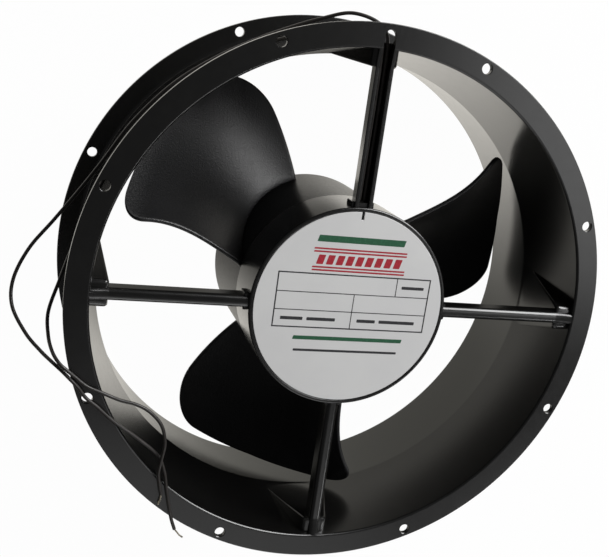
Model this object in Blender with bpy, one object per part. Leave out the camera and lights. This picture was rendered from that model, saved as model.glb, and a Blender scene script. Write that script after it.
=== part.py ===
"""Tubeaxial cooling fan, built lying on its rear flange.

A cast venturi tube with two round flanges carries a four-strut motor spider.
An external-rotor motor with ball bearings fills the hub and turns a
three-blade impeller. Units are metres. +Z runs along the fan's axis towards
the nameplate, +Y points along the strut that carries the leads, and the
origin is the centre of the rear flange's underside.
"""
import math

import bmesh
import bpy
from mathutils import Matrix, Vector

# Overall size
FLANGE_DIAMETER = 0.254
FAN_DEPTH = 0.089
FIT_GAP = 0.0003
CUT_OVERRUN = 0.002
MERGE_DISTANCE = 0.000001

# Venturi housing
FLANGE_THICKNESS = 0.0024
FRONT_FLANGE_WIDTH = 0.011
FRONT_TAPER = 0.0052
REAR_TAPER = 0.0032
TUBE_WALL = 0.003
FRONT_LIP_ROUND = 0.0012
REAR_LIP_ROUND = 0.0024
FLANGE_FILLET = 0.002
BOLT_EDGE_DISTANCE = 0.004
BOLT_HOLE_DIAMETER = 0.0048
LEAD_SLOT_MARGIN = 0.0022

# Struts of the motor spider
STRUT_WIDTH = 0.0057
STRUT_SET_BACK = 0.0014
STRUT_HEIGHT = 0.0086
STRUT_NOSE_ROUND = 0.0022
LEAD_STRUT_WIDTH = 0.0084
CHANNEL_WIDTH = 0.0046
CHANNEL_DEPTH = 0.0051
PAD_FRONT_WIDTH = 0.0115
PAD_REACH = 0.0077
PAD_THROAT_WIDTH = 0.031
PAD_SINK = 0.0003
STRUT_END_SET_BACK = 0.0002
HUB_FOOT_LENGTH = 0.002
HUB_FOOT_MARGIN = 0.0012
FOOT_SET_BACK = 0.0012
FOOT_RISE = 0.0005
STRUT_ROOT_SINK = 0.0016
FOOT_ROOT_SINK = 0.0012

# Motor base
BASE_RADIUS = 0.047
BASE_DEPTH = 0.028
BASE_WALL = 0.0026
BASE_EDGE_ROUND = 0.0008
BOSS_WALL = 0.003
BOSS_LENGTH = 0.022
BASE_RIM = 0.0017
NAMEPLATE_THICKNESS = 0.0006
NAMEPLATE_NOTCH_WIDTH = 0.0012
NAMEPLATE_NOTCH_LENGTH = 0.0036
GROMMET_WIDTH = 0.0046
GROMMET_HEIGHT = 0.0026
GROMMET_LIP = 0.0008

# Impeller
HUB_STEP = 0.0005
HUB_WALL = 0.0025
HUB_REAR_SET_BACK = 0.002
HUB_EDGE_ROUND = 0.0016
HUB_RUNNING_GAP = 0.001
BLADE_TIP_CLEARANCE = 0.0033
BLADE_THICKNESS = 0.0022
BLADE_ROOT_SINK = 0.0012

# Motor, stationary side
TUBE_SEAT_WALL = 0.0022
TUBE_END_REACH = 0.0018
BEARING_SHOULDER = 0.0013
STATOR_END_ROOM = 0.0111
CORE_HUB_WALL = 0.0045
TOOTH_WIDTH = 0.012
POLE_SHOE_THICKNESS = 0.004
INSULATOR_THICKNESS = 0.001
COLLAR_HEIGHT = 0.007
COLLAR_WALL = 0.003
COIL_THICKNESS = 0.0045
BOARD_SET_BACK = 0.002
BOARD_THICKNESS = 0.0016
PROTECTOR_LENGTH = 0.012
PROTECTOR_WIDTH = 0.006
PROTECTOR_HEIGHT = 0.0035
PROTECTOR_ROUND = 0.0015
CAPACITOR_LENGTH = 0.026
CAPACITOR_WIDTH = 0.014
CAPACITOR_HEIGHT = 0.018
CAPACITOR_ROUND = 0.002

# Motor, turning side
AIR_GAP = 0.0005
ROTOR_RING_OVERHANG = 0.002
ROTOR_CUP_WALL = 0.0015
ROTOR_CUP_SET_BACK = 0.0015
SHAFT_DIAMETER = 0.008
SHAFT_SET_BACK = 0.008
SHAFT_END_REACH = 0.0024
SHAFT_CHAMFER = 0.0005
CLIP_GROOVE_DEPTH = 0.0005
CLIP_THICKNESS = 0.0008
CLIP_RADIUS = 0.0072
BUSHING_RADIUS = 0.0085
BUSHING_HEIGHT = 0.0042
BUSHING_FLANGE_THICKNESS = 0.002
WASHER_THICKNESS = 0.0004
WASHER_WAVE = 0.0005
SCREW_SET_BACK = 0.0157
SCREW_RADIUS = 0.0015
SCREW_HEAD_RADIUS = 0.0029
SCREW_HEAD_HEIGHT = 0.0014
SCREW_HEAD_ROUND = 0.0005
SCREW_TIP_REACH = 0.0015
SCREW_SLOT_WIDTH = 0.0008
SCREW_SLOT_DEPTH = 0.0007

# Ball bearings
BEARING_RADIUS = 0.011
BEARING_WIDTH = 0.007
RACE_FLOOR_WALL = 0.0013
RACE_GROOVE_DEPTH = 0.0008
CAGE_WALL = 0.0012
CAGE_WIDTH = 0.0022

# Leads
LEAD_DIAMETER = 0.0016
LEAD_SPREAD = 0.00105
LEAD_BEND_REACH = 0.008
SOLDER_SPREAD = 0.0056
SOLDER_SET_BACK = 0.0055
BARE_TIP_DIAMETER = 0.0008

# Counts
BOLT_HOLES = 8
STRUTS = 4
LEAD_STRUT = 1
BLADES = 3
IMPELLER_SCREWS = 3
TEETH = 4
BALLS = 7
WASHER_WAVES = 3
HOUSING_STEPS = 72
HUB_STEPS = 48
MOTOR_STEPS = 30
BEARING_STEPS = 20
SMALL_STEPS = 12
BALL_SIDES = 8
BALL_RINGS = 5
CAGE_STEPS = 28
SLOT_END_STEPS = 8
SHOE_STEPS = 8
NECK_STEPS = 3
FILLET_STEPS = 2
BLADE_SPAN_STEPS = 9
BLADE_CHORD_STEPS = 12
LEAD_POINTS = 80
ROUTE_STEPS = 12
INNER_LEAD_POINTS = 14
TIP_POINTS = 5

# Blade sections from hub to tip. Each row gives the front edge, the pull point
# and the rear edge as an angle in degrees and a height as a share of the fan's depth.
BLADE_SECTION_SHARES = (
    ((168.2, 0.663), (148.7, 0.194), (104.2, 0.149)),
    ((161.9, 0.673), (144.5, 0.157), (107.8, 0.093)),
    ((166.4, 0.704), (140.2, 0.106), (113.0, 0.087)),
)
FRONT_CORNER_SHARES = (0.18, 0.14)
REAR_CORNER_SHARES = (0.43, 0.18)
THROAT_HEIGHT_SHARE = 0.5
RING_BORE_SHARE = 0.776
POLE_SHOE_DEGREES = 78.0
CLIP_OPENING_DEGREES = 70.0
BEND_SHARP_DEGREES = 35.0
CAPACITOR_DEGREES = 250.0
PROTECTOR_DEGREES = 30.0

# How far along an inner lead's way from the grommet to the board its points lie:
# across, inwards and down.
INNER_LEAD_SHARES = ((0.12, 0.16, 0.01), (0.34, 0.43, 0.145), (0.6, 0.7, 0.466), (0.87, 0.92, 0.787))

# Places worked out from the sizes above
FLANGE_RADIUS = FLANGE_DIAMETER / 2
FRONT_OPENING_RADIUS = FLANGE_RADIUS - FRONT_FLANGE_WIDTH
THROAT_RADIUS = FRONT_OPENING_RADIUS - FRONT_TAPER
REAR_OPENING_RADIUS = THROAT_RADIUS + REAR_TAPER
THROAT_HEIGHT = FAN_DEPTH * THROAT_HEIGHT_SHARE
BOLT_CIRCLE_RADIUS = FLANGE_RADIUS - BOLT_EDGE_DISTANCE
STRUT_TOP = FAN_DEPTH - STRUT_SET_BACK
STRUT_BOTTOM = STRUT_TOP - STRUT_HEIGHT
FOOT_TOP = STRUT_TOP - FOOT_SET_BACK
FOOT_BOTTOM = STRUT_BOTTOM + FOOT_RISE
PAD_FRONT = FRONT_OPENING_RADIUS - PAD_REACH
PAD_THROAT = THROAT_RADIUS + PAD_SINK
CHANNEL_FLOOR = STRUT_TOP - CHANNEL_DEPTH
LEAD_HEIGHT = CHANNEL_FLOOR + FIT_GAP + LEAD_DIAMETER / 2
LEAD_SLOT_WIDTH = CHANNEL_WIDTH + 2 * FIT_GAP
LEAD_SLOT_REACH = FLANGE_RADIUS - LEAD_SLOT_MARGIN
HUB_FOOT_END = BASE_RADIUS + HUB_FOOT_LENGTH
BASE_BOTTOM = FAN_DEPTH - BASE_DEPTH
RECESS_RADIUS = BASE_RADIUS - BASE_RIM
RECESS_FLOOR = FAN_DEPTH - NAMEPLATE_THICKNESS - FIT_GAP
NAMEPLATE_RADIUS = RECESS_RADIUS - FIT_GAP
BASE_INNER_RADIUS = BASE_RADIUS - BASE_WALL
BASE_CEILING = RECESS_FLOOR - BASE_WALL

HUB_RADIUS = BASE_RADIUS - HUB_STEP
HUB_FRONT = BASE_BOTTOM - HUB_RUNNING_GAP
HUB_INNER_RADIUS = HUB_RADIUS - HUB_WALL
HUB_REAR_INSIDE = HUB_REAR_SET_BACK + HUB_WALL
BLADE_TIP_RADIUS = THROAT_RADIUS - BLADE_TIP_CLEARANCE

CUP_RADIUS = HUB_INNER_RADIUS - FIT_GAP
CUP_REAR = HUB_REAR_INSIDE + FIT_GAP
CUP_REAR_INSIDE = CUP_REAR + ROTOR_CUP_WALL
CUP_FRONT = HUB_FRONT - ROTOR_CUP_SET_BACK
SCREW_CIRCLE_RADIUS = CUP_RADIUS - SCREW_SET_BACK
RING_RADIUS = CUP_RADIUS - ROTOR_CUP_WALL - FIT_GAP
RING_BORE = RING_RADIUS * RING_BORE_SHARE
SHAFT_RADIUS = SHAFT_DIAMETER / 2
SHAFT_REAR = CUP_REAR + FIT_GAP
SHAFT_FRONT = RECESS_FLOOR - SHAFT_SET_BACK
CLIP_TOP = SHAFT_FRONT - SHAFT_END_REACH
CLIP_BOTTOM = CLIP_TOP - CLIP_THICKNESS
WASHER_BASE = CLIP_BOTTOM - FIT_GAP - WASHER_THICKNESS - WASHER_WAVE

BUSHING_BOTTOM = CUP_REAR_INSIDE + FIT_GAP
REAR_BEARING_HEIGHT = BUSHING_BOTTOM + BUSHING_HEIGHT + FIT_GAP
FRONT_BEARING_HEIGHT = WASHER_BASE - FIT_GAP - BEARING_WIDTH
BALL_CIRCLE = (SHAFT_RADIUS + BEARING_RADIUS) / 2
GROOVE_RADIUS = (BEARING_RADIUS - SHAFT_RADIUS) / 2 - RACE_FLOOR_WALL
BALL_RADIUS = GROOVE_RADIUS - FIT_GAP
INNER_LAND = BALL_CIRCLE - GROOVE_RADIUS + RACE_GROOVE_DEPTH
OUTER_LAND = BALL_CIRCLE + GROOVE_RADIUS - RACE_GROOVE_DEPTH
TUBE_BORE = BEARING_RADIUS + FIT_GAP
TUBE_RADIUS = TUBE_BORE + TUBE_SEAT_WALL
TUBE_BOTTOM = REAR_BEARING_HEIGHT - TUBE_END_REACH
BOSS_BORE = TUBE_RADIUS + FIT_GAP
BOSS_RADIUS = BOSS_BORE + BOSS_WALL

CORE_BORE = TUBE_RADIUS + FIT_GAP
CORE_HUB_RADIUS = CORE_BORE + CORE_HUB_WALL
STATOR_RADIUS = RING_BORE - AIR_GAP
SHOE_INNER_RADIUS = STATOR_RADIUS - POLE_SHOE_THICKNESS
CORE_BOTTOM = CUP_REAR_INSIDE + STATOR_END_ROOM
CORE_TOP = CUP_FRONT - STATOR_END_ROOM
COIL_WINDOW = TOOTH_WIDTH / 2 + FIT_GAP
BOARD_RADIUS = STATOR_RADIUS - BOARD_SET_BACK
SOLDER_REACH = BOARD_RADIUS - SOLDER_SET_BACK
BOARD_BOTTOM = CORE_TOP + FIT_GAP + INSULATOR_THICKNESS + COLLAR_HEIGHT + FIT_GAP
BOARD_TOP = BOARD_BOTTOM + BOARD_THICKNESS

GROMMET_OUTER_END = HUB_FOOT_END + FIT_GAP
GROMMET_INNER_END = BASE_INNER_RADIUS - FIT_GAP

# Finishes: colour, roughness, metallic
BLACK_PAINT = ((0.018, 0.018, 0.019), 0.38, 0.0)
BLACK_MOULDING = ((0.014, 0.014, 0.016), 0.42, 0.0)
PLATE_SILVER = ((0.62, 0.63, 0.64), 0.42, 0.2)
STEEL = ((0.55, 0.55, 0.56), 0.28, 1.0)
BEARING_STEEL = ((0.66, 0.66, 0.68), 0.16, 1.0)
LAMINATION = ((0.30, 0.30, 0.32), 0.45, 1.0)
COPPER = ((0.58, 0.20, 0.08), 0.35, 1.0)
INSULATOR_WHITE = ((0.72, 0.70, 0.62), 0.55, 0.0)
BOARD_TAN = ((0.42, 0.33, 0.14), 0.50, 0.0)
PROTECTOR_BLACK = ((0.03, 0.03, 0.03), 0.45, 0.0)
CAPACITOR_GREY = ((0.22, 0.23, 0.24), 0.40, 0.0)
GROMMET_BLACK = ((0.02, 0.02, 0.02), 0.70, 0.0)
LEAD_BLACK = ((0.016, 0.015, 0.015), 0.45, 0.0)
TINNED_COPPER = ((0.72, 0.69, 0.62), 0.30, 1.0)

# The leads' routes from the grommet: up the channel, out behind the front
# flange, round the tube, back over the flange and out across the opening.
LEAD_1_ROUTE = (
    (0.00110, 0.06400, 0.08360), (0.00130, 0.08000, 0.08360), (0.00135, 0.09600, 0.08360),
    (0.00125, 0.11000, 0.08360), (0.00100, 0.11850, 0.08345), (-0.00060, 0.12370, 0.08290),
    (-0.00500, 0.12700, 0.08170), (-0.01150, 0.12880, 0.08000), (-0.01800, 0.12860, 0.07800),
    (-0.02700, 0.12520, 0.07520), (-0.03700, 0.12080, 0.07220), (-0.05220, 0.11330, 0.06980),
    (-0.06880, 0.10360, 0.06860), (-0.08660, 0.09000, 0.06800), (-0.10220, 0.07220, 0.06760),
    (-0.11350, 0.05400, 0.06750), (-0.12200, 0.04080, 0.06720), (-0.13200, 0.02620, 0.06640),
    (-0.14160, 0.01260, 0.06600), (-0.14730, -0.00100, 0.06740), (-0.14720, -0.01180, 0.07220),
    (-0.14100, -0.02160, 0.07920), (-0.13450, -0.02740, 0.08480), (-0.13000, -0.03080, 0.08760),
    (-0.12550, -0.03430, 0.08940), (-0.12130, -0.03820, 0.09020), (-0.11760, -0.04200, 0.09030),
    (-0.11420, -0.04640, 0.09030), (-0.10910, -0.05050, 0.09020), (-0.10180, -0.05710, 0.08990),
    (-0.08960, -0.06640, 0.08850), (-0.08020, -0.07450, 0.08790), (-0.07660, -0.08200, 0.08910),
    (-0.07500, -0.08960, 0.09020), (-0.07330, -0.09700, 0.09030), (-0.07130, -0.10500, 0.09020),
    (-0.06900, -0.11130, 0.08930),
)
LEAD_2_ROUTE = (
    (-0.00095, 0.06400, 0.08360), (-0.00080, 0.08000, 0.08360), (-0.00075, 0.09600, 0.08360),
    (-0.00090, 0.11000, 0.08360), (-0.00115, 0.11700, 0.08340), (-0.00260, 0.12080, 0.08260),
    (-0.00620, 0.12290, 0.08130), (-0.01120, 0.12340, 0.07950), (-0.01720, 0.12280, 0.07740),
    (-0.02500, 0.12100, 0.07480), (-0.03600, 0.11680, 0.07180), (-0.05140, 0.11010, 0.06980),
    (-0.07840, 0.09330, 0.06930), (-0.09980, 0.06990, 0.06930), (-0.11420, 0.04260, 0.06950),
    (-0.12240, 0.01900, 0.06960), (-0.12800, 0.00020, 0.07000), (-0.13190, -0.01360, 0.07260),
    (-0.13150, -0.02220, 0.07920), (-0.12960, -0.02730, 0.08570), (-0.12670, -0.03080, 0.08990),
    (-0.12360, -0.03330, 0.09090), (-0.11900, -0.03720, 0.09060), (-0.11400, -0.04110, 0.09030),
    (-0.10730, -0.04400, 0.09010), (-0.09950, -0.04730, 0.08970), (-0.09230, -0.04930, 0.08940),
    (-0.08580, -0.05280, 0.08940), (-0.08000, -0.05920, 0.08970), (-0.07780, -0.06760, 0.09010),
    (-0.07860, -0.07540, 0.09030), (-0.07930, -0.08250, 0.09030), (-0.07810, -0.08900, 0.09030),
    (-0.07720, -0.09300, 0.09030),
)
TIP_1_ROUTE = ((-0.06720, -0.11400, 0.08780), (-0.06580, -0.11600, 0.08680), (-0.06410, -0.11760, 0.08600))
TIP_2_ROUTE = ((-0.07720, -0.09500, 0.09010), (-0.07760, -0.09680, 0.09000), (-0.07780, -0.09820, 0.08990))


def clear_scene():
    for thing in list(bpy.data.objects):
        bpy.data.objects.remove(thing, do_unlink=True)


def make_material(name, finish):
    colour, roughness, metallic = finish
    material = bpy.data.materials.new(name)
    material.use_nodes = True
    shader = material.node_tree.nodes["Principled BSDF"]
    shader.inputs["Base Color"].default_value = (*colour, 1.0)
    shader.inputs["Roughness"].default_value = roughness
    shader.inputs["Metallic"].default_value = metallic
    return material


def finish_mesh(name, bm, finish):
    """Turn a bmesh into a linked object with outward faces and smooth shading."""
    bmesh.ops.remove_doubles(bm, verts=bm.verts, dist=MERGE_DISTANCE)
    bmesh.ops.recalc_face_normals(bm, faces=bm.faces)
    mesh = bpy.data.meshes.new(name)
    bm.to_mesh(mesh)
    bm.free()
    mesh.shade_smooth()
    mesh.set_sharp_from_angle(angle=math.radians(BEND_SHARP_DEGREES))
    return place_mesh(name, mesh, finish)


def place_mesh(name, mesh, finish):
    thing = bpy.data.objects.new(name, mesh)
    bpy.context.collection.objects.link(thing)
    if finish is not None:
        mesh.materials.clear()
        mesh.materials.append(make_material(name, finish))
    return thing


def lathe(name, profile, steps, finish, closed=True):
    """Turn an outline of (radius, height) points about Z."""
    bm = bmesh.new()
    verts = [bm.verts.new((radius, 0, height)) for radius, height in profile]
    edges = [bm.edges.new(pair) for pair in zip(verts, verts[1:])]
    if closed:
        edges.append(bm.edges.new((verts[-1], verts[0])))
    bmesh.ops.spin(
        bm, geom=verts + edges, cent=(0, 0, 0), axis=(0, 0, 1),
        angle=math.tau, steps=steps, use_merge=True,
    )
    return finish_mesh(name, bm, finish)


def loft(name, rings, finish):
    """Join rings of points with quads and close both ends."""
    bm = bmesh.new()
    rows = [[bm.verts.new(point) for point in ring] for ring in rings]
    count = len(rows[0])
    for row, following in zip(rows, rows[1:]):
        for index in range(count):
            after = (index + 1) % count
            bm.faces.new((row[index], row[after], following[after], following[index]))
    bm.faces.new(rows[0])
    bm.faces.new(rows[-1])
    return finish_mesh(name, bm, finish)


def prism(name, outline, bottom, top, finish):
    """Raise a flat (x, y) outline from bottom to top."""
    rings = [[(x, y, height) for x, y in outline] for height in (bottom, top)]
    return loft(name, rings, finish)


def box(name, low, high, finish=None):
    outline = ((low[0], low[1]), (high[0], low[1]), (high[0], high[1]), (low[0], high[1]))
    return prism(name, outline, low[2], high[2], finish)


def arc(centre, radius, start, end, steps):
    """Points on an arc, angles in degrees, both ends included."""
    points = []
    for index in range(steps + 1):
        angle = math.radians(start + (end - start) * index / steps)
        points.append((centre[0] + radius * math.cos(angle), centre[1] + radius * math.sin(angle)))
    return points


def rounded_outline(width, length, radius):
    """Outline of a box with round corners, centred on the origin."""
    x = width / 2 - radius
    y = length / 2 - radius
    outline = []
    for centre, start in (((x, y), 0), ((-x, y), 90), ((-x, -y), 180), ((x, -y), 270)):
        outline += arc(centre, radius, start, start + 90, FILLET_STEPS)
    return outline


def polar(radius, degrees, height):
    angle = math.radians(degrees)
    return Vector((radius * math.cos(angle), radius * math.sin(angle), height))


def turn(thing, degrees):
    thing.matrix_world = Matrix.Rotation(math.radians(degrees), 4, "Z") @ thing.matrix_world
    return thing


def use_as_tool(tool):
    tool.hide_render = True
    tool.display_type = "WIRE"


def combine(target, tool, operation):
    modifier = target.modifiers.new(operation.lower() + " " + tool.name, "BOOLEAN")
    modifier.operation = operation
    modifier.object = tool
    modifier.solver = "EXACT"
    use_as_tool(tool)


def cut(target, tool):
    combine(target, tool, "DIFFERENCE")


def join(target, tool):
    combine(target, tool, "UNION")


def baked_mesh(thing):
    """Mesh of an object with its modifiers applied."""
    bpy.context.view_layer.update()
    evaluated = thing.evaluated_get(bpy.context.evaluated_depsgraph_get())
    return bpy.data.meshes.new_from_object(evaluated)


def wall_radius(height):
    """Inner radius of the venturi tube at a height."""
    if height > THROAT_HEIGHT:
        share = (height - THROAT_HEIGHT) / (FAN_DEPTH - THROAT_HEIGHT)
        return THROAT_RADIUS + (FRONT_OPENING_RADIUS - THROAT_RADIUS) * share
    share = (THROAT_HEIGHT - height) / THROAT_HEIGHT
    return THROAT_RADIUS + (REAR_OPENING_RADIUS - THROAT_RADIUS) * share


def build_housing():
    """Waisted tube between two flanges, turned from one outline, with a pad inside it for each strut."""
    flange_top = FAN_DEPTH - FLANGE_THICKNESS
    front_lip = (FRONT_OPENING_RADIUS + FRONT_LIP_ROUND, FAN_DEPTH - FRONT_LIP_ROUND)
    rear_lip = (REAR_OPENING_RADIUS + REAR_LIP_ROUND, REAR_LIP_ROUND)
    rear_fillet = (REAR_OPENING_RADIUS + TUBE_WALL + FLANGE_FILLET, FLANGE_THICKNESS + FLANGE_FILLET)
    front_fillet = (FRONT_OPENING_RADIUS + TUBE_WALL + FLANGE_FILLET, flange_top - FLANGE_FILLET)
    profile = arc(front_lip, FRONT_LIP_ROUND, 90, 180, FILLET_STEPS)
    profile.append((THROAT_RADIUS, THROAT_HEIGHT))
    profile += arc(rear_lip, REAR_LIP_ROUND, 180, 270, FILLET_STEPS)
    profile += [(FLANGE_RADIUS, 0), (FLANGE_RADIUS, FLANGE_THICKNESS)]
    profile += arc(rear_fillet, FLANGE_FILLET, 270, 180, FILLET_STEPS)
    profile.append((THROAT_RADIUS + TUBE_WALL, THROAT_HEIGHT))
    profile += arc(front_fillet, FLANGE_FILLET, 180, 90, FILLET_STEPS)
    profile += [(FLANGE_RADIUS, flange_top), (FLANGE_RADIUS, FAN_DEPTH)]
    housing = lathe("venturi_housing", profile, HOUSING_STEPS, BLACK_PAINT)
    for index in range(STRUTS):
        degrees = index * 360 / STRUTS
        section = lead_strut_section() if index == LEAD_STRUT else strut_section()
        join(housing, turn(strut_pad("strut_pad_%d" % index), degrees))
        join(housing, turn(strut_end("strut_end_%d" % index, section), degrees))
    cut(housing, bolt_hole_tool())
    cut(housing, lead_slot_tool())
    cut(housing, lead_notch_tool())
    return housing


def strut_pad(name):
    """Pad along +X that widens and thins from the front down to the throat, where it sinks into the tube."""
    ends = (
        (THROAT_HEIGHT, PAD_THROAT, PAD_THROAT_WIDTH / 2),
        (FOOT_TOP, PAD_FRONT, PAD_FRONT_WIDTH / 2),
    )
    rings = []
    for height, face, half in ends:
        buried = wall_radius(height) + TUBE_WALL / 2
        rings.append(((face, -half, height), (buried, -half, height), (buried, half, height), (face, half, height)))
    return loft(name, rings, None)


def strut_end(name, section):
    """The strut's last stretch, over its pad: it rises almost to the flange's face."""
    near = [(PAD_FRONT, across, height) for across, height in section]
    far = []
    for across, height in section:
        raised = height
        if height > CHANNEL_FLOOR:
            raised += STRUT_SET_BACK - STRUT_END_SET_BACK
        far.append((wall_radius(height) + TUBE_WALL / 2, across, raised))
    return loft(name, (near, far), None)


def bolt_hole_tool():
    """One long pin through both flanges at each bolt place, two in each gap between struts."""
    bm = bmesh.new()
    spacing = 360 / BOLT_HOLES
    for index in range(BOLT_HOLES):
        centre = polar(BOLT_CIRCLE_RADIUS, spacing * (index + 0.5), THROAT_HEIGHT)
        bmesh.ops.create_cone(
            bm, cap_ends=True, segments=SMALL_STEPS,
            radius1=BOLT_HOLE_DIAMETER / 2, radius2=BOLT_HOLE_DIAMETER / 2,
            depth=FAN_DEPTH + 2 * CUT_OVERRUN, matrix=Matrix.Translation(centre),
        )
    return finish_mesh("bolt_hole_tool", bm, None)


def lead_slot_tool():
    """Round-ended slot in the front flange above the lead strut."""
    half = LEAD_SLOT_WIDTH / 2
    inner = FRONT_OPENING_RADIUS - CUT_OVERRUN
    outline = [(-half, inner), (half, inner)]
    outline += arc((0, LEAD_SLOT_REACH - half), half, 0, 180, SLOT_END_STEPS)
    bottom = FAN_DEPTH - FLANGE_THICKNESS - FLANGE_FILLET - CUT_OVERRUN
    return prism("lead_slot_tool", outline, bottom, FAN_DEPTH + CUT_OVERRUN, None)


def lead_notch_tool():
    """Way for the leads over the pad and through the tube wall, into the slot."""
    half = LEAD_SLOT_WIDTH / 2
    low = (-half, PAD_FRONT - CUT_OVERRUN, CHANNEL_FLOOR - FIT_GAP)
    high = (half, LEAD_SLOT_REACH - half, FAN_DEPTH + CUT_OVERRUN)
    return box("lead_notch_tool", low, high)


def strut_section():
    """Solid strut's section as (across, height): a bar with a rounded nose."""
    half = STRUT_WIDTH / 2
    centre_height = STRUT_TOP - STRUT_NOSE_ROUND
    across = half - STRUT_NOSE_ROUND
    section = [(-half, STRUT_BOTTOM), (half, STRUT_BOTTOM)]
    section += arc((across, centre_height), STRUT_NOSE_ROUND, 0, 90, FILLET_STEPS)
    section += arc((-across, centre_height), STRUT_NOSE_ROUND, 90, 180, FILLET_STEPS)
    return section


def lead_strut_section():
    """Lead strut's section: a drafted bar with an open channel in its front."""
    top = LEAD_STRUT_WIDTH / 2
    bottom = STRUT_WIDTH / 2
    channel = CHANNEL_WIDTH / 2
    return [
        (-bottom, STRUT_BOTTOM), (bottom, STRUT_BOTTOM), (top, STRUT_TOP), (channel, STRUT_TOP),
        (channel, CHANNEL_FLOOR), (-channel, CHANNEL_FLOOR), (-channel, STRUT_TOP), (-top, STRUT_TOP),
    ]


def radial_bar(name, section):
    """Draw an (across, height) section out along +X from the base, a fit gap short of the strut's end on its pad."""
    rings = []
    for reach in (BASE_RADIUS - STRUT_ROOT_SINK, PAD_FRONT - FIT_GAP):
        rings.append([(reach, across, height) for across, height in section])
    return loft(name, rings, None)


def hub_foot(name, section):
    """Foot of a strut at the base, a margin wider than the strut on either side."""
    half = max(across for across, height in section) + HUB_FOOT_MARGIN
    low = (BASE_RADIUS - FOOT_ROOT_SINK, -half, FOOT_BOTTOM)
    return box(name, low, (HUB_FOOT_END, half, FOOT_TOP))


def build_spider():
    """Motor base with its bearing boss, and the struts with their feet on it."""
    profile = [(BOSS_BORE, RECESS_FLOOR), (RECESS_RADIUS, RECESS_FLOOR), (RECESS_RADIUS, FAN_DEPTH)]
    edge = (BASE_RADIUS - BASE_EDGE_ROUND, FAN_DEPTH - BASE_EDGE_ROUND)
    profile += arc(edge, BASE_EDGE_ROUND, 90, 0, FILLET_STEPS)
    profile += [(BASE_RADIUS, BASE_BOTTOM), (BASE_INNER_RADIUS, BASE_BOTTOM)]
    profile += [(BASE_INNER_RADIUS, BASE_CEILING), (BOSS_RADIUS, BASE_CEILING)]
    boss_bottom = BASE_CEILING - BOSS_LENGTH
    profile += [(BOSS_RADIUS, boss_bottom), (BOSS_BORE, boss_bottom)]
    spider = lathe("motor_spider", profile, HUB_STEPS, BLACK_PAINT)
    for index in range(STRUTS):
        degrees = index * 360 / STRUTS
        section = lead_strut_section() if index == LEAD_STRUT else strut_section()
        join(spider, turn(radial_bar("strut_bar_%d" % index, section), degrees))
        join(spider, turn(hub_foot("hub_foot_%d" % index, section), degrees))
    cut(spider, channel_tool())
    cut(spider, grommet_hole_tool())
    return spider


def channel_tool():
    """Carries the lead channel through the foot of the lead strut."""
    half = CHANNEL_WIDTH / 2
    low = (-half, HUB_FOOT_END, CHANNEL_FLOOR)
    high = (half, PAD_FRONT, STRUT_TOP + CUT_OVERRUN)
    return box("channel_tool", low, high)


def grommet_hole_tool():
    half_width = GROMMET_WIDTH / 2 + FIT_GAP
    half_height = GROMMET_HEIGHT / 2 + FIT_GAP
    low = (-half_width, BASE_INNER_RADIUS - CUT_OVERRUN, LEAD_HEIGHT - half_height)
    high = (half_width, HUB_FOOT_END + FIT_GAP, LEAD_HEIGHT + half_height)
    return box("grommet_hole_tool", low, high)


def build_nameplate():
    """Thin disc in the base's recess, with a small notch that lines up with the lead strut."""
    half = NAMEPLATE_NOTCH_WIDTH / 2
    side = math.degrees(math.asin(half / NAMEPLATE_RADIUS))
    notch_floor = NAMEPLATE_RADIUS - NAMEPLATE_NOTCH_LENGTH
    outline = arc((0, 0), NAMEPLATE_RADIUS, 90 + side, 450 - side, HUB_STEPS)
    outline += [(half, notch_floor), (-half, notch_floor)]
    bottom = FAN_DEPTH - NAMEPLATE_THICKNESS
    return prism("nameplate", outline, bottom, FAN_DEPTH, PLATE_SILVER)


def build_grommet():
    """Insulating sleeve in the base wall, with a lip on the inside."""
    half_width = GROMMET_WIDTH / 2
    half_height = GROMMET_HEIGHT / 2
    low = (-half_width, GROMMET_INNER_END - GROMMET_LIP, LEAD_HEIGHT - half_height)
    grommet = box("lead_grommet", low, (half_width, HUB_FOOT_END, LEAD_HEIGHT + half_height), GROMMET_BLACK)
    lip_low = (low[0] - GROMMET_LIP, low[1], low[2] - GROMMET_LIP)
    lip_high = (half_width + GROMMET_LIP, GROMMET_INNER_END, BASE_CEILING - FIT_GAP)
    join(grommet, box("grommet_lip", lip_low, lip_high))
    return grommet


def section_curve(section, chord):
    """Angle and height on one blade section, from its front edge to its rear edge."""
    front, pull, rear = section
    weights = ((1 - chord) ** 2, 2 * chord * (1 - chord), chord ** 2)
    degrees = sum(weight * point[0] for weight, point in zip(weights, (front, pull, rear)))
    height = sum(weight * point[1] for weight, point in zip(weights, (front, pull, rear)))
    return degrees, height * FAN_DEPTH


def blade_point(span, chord):
    """Point on a blade's middle surface, span 0 at the hub and 1 at the tip."""
    weights = ((1 - span) * (1 - 2 * span), 4 * span * (1 - span), span * (2 * span - 1))
    curves = [section_curve(section, chord) for section in BLADE_SECTION_SHARES]
    degrees = sum(weight * curve[0] for weight, curve in zip(weights, curves))
    height = sum(weight * curve[1] for weight, curve in zip(weights, curves))
    radius = HUB_RADIUS + (BLADE_TIP_RADIUS - HUB_RADIUS) * span
    return polar(radius, degrees, height)


def corner_inset(span, corner_shares):
    """Share of the chord that a rounded blade corner takes away at a span."""
    span_share, chord_share = corner_shares
    along = max(0, (span - 1 + span_share) / span_share)
    return chord_share * (1 - math.sqrt(max(0, 1 - along ** 2)))


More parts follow.
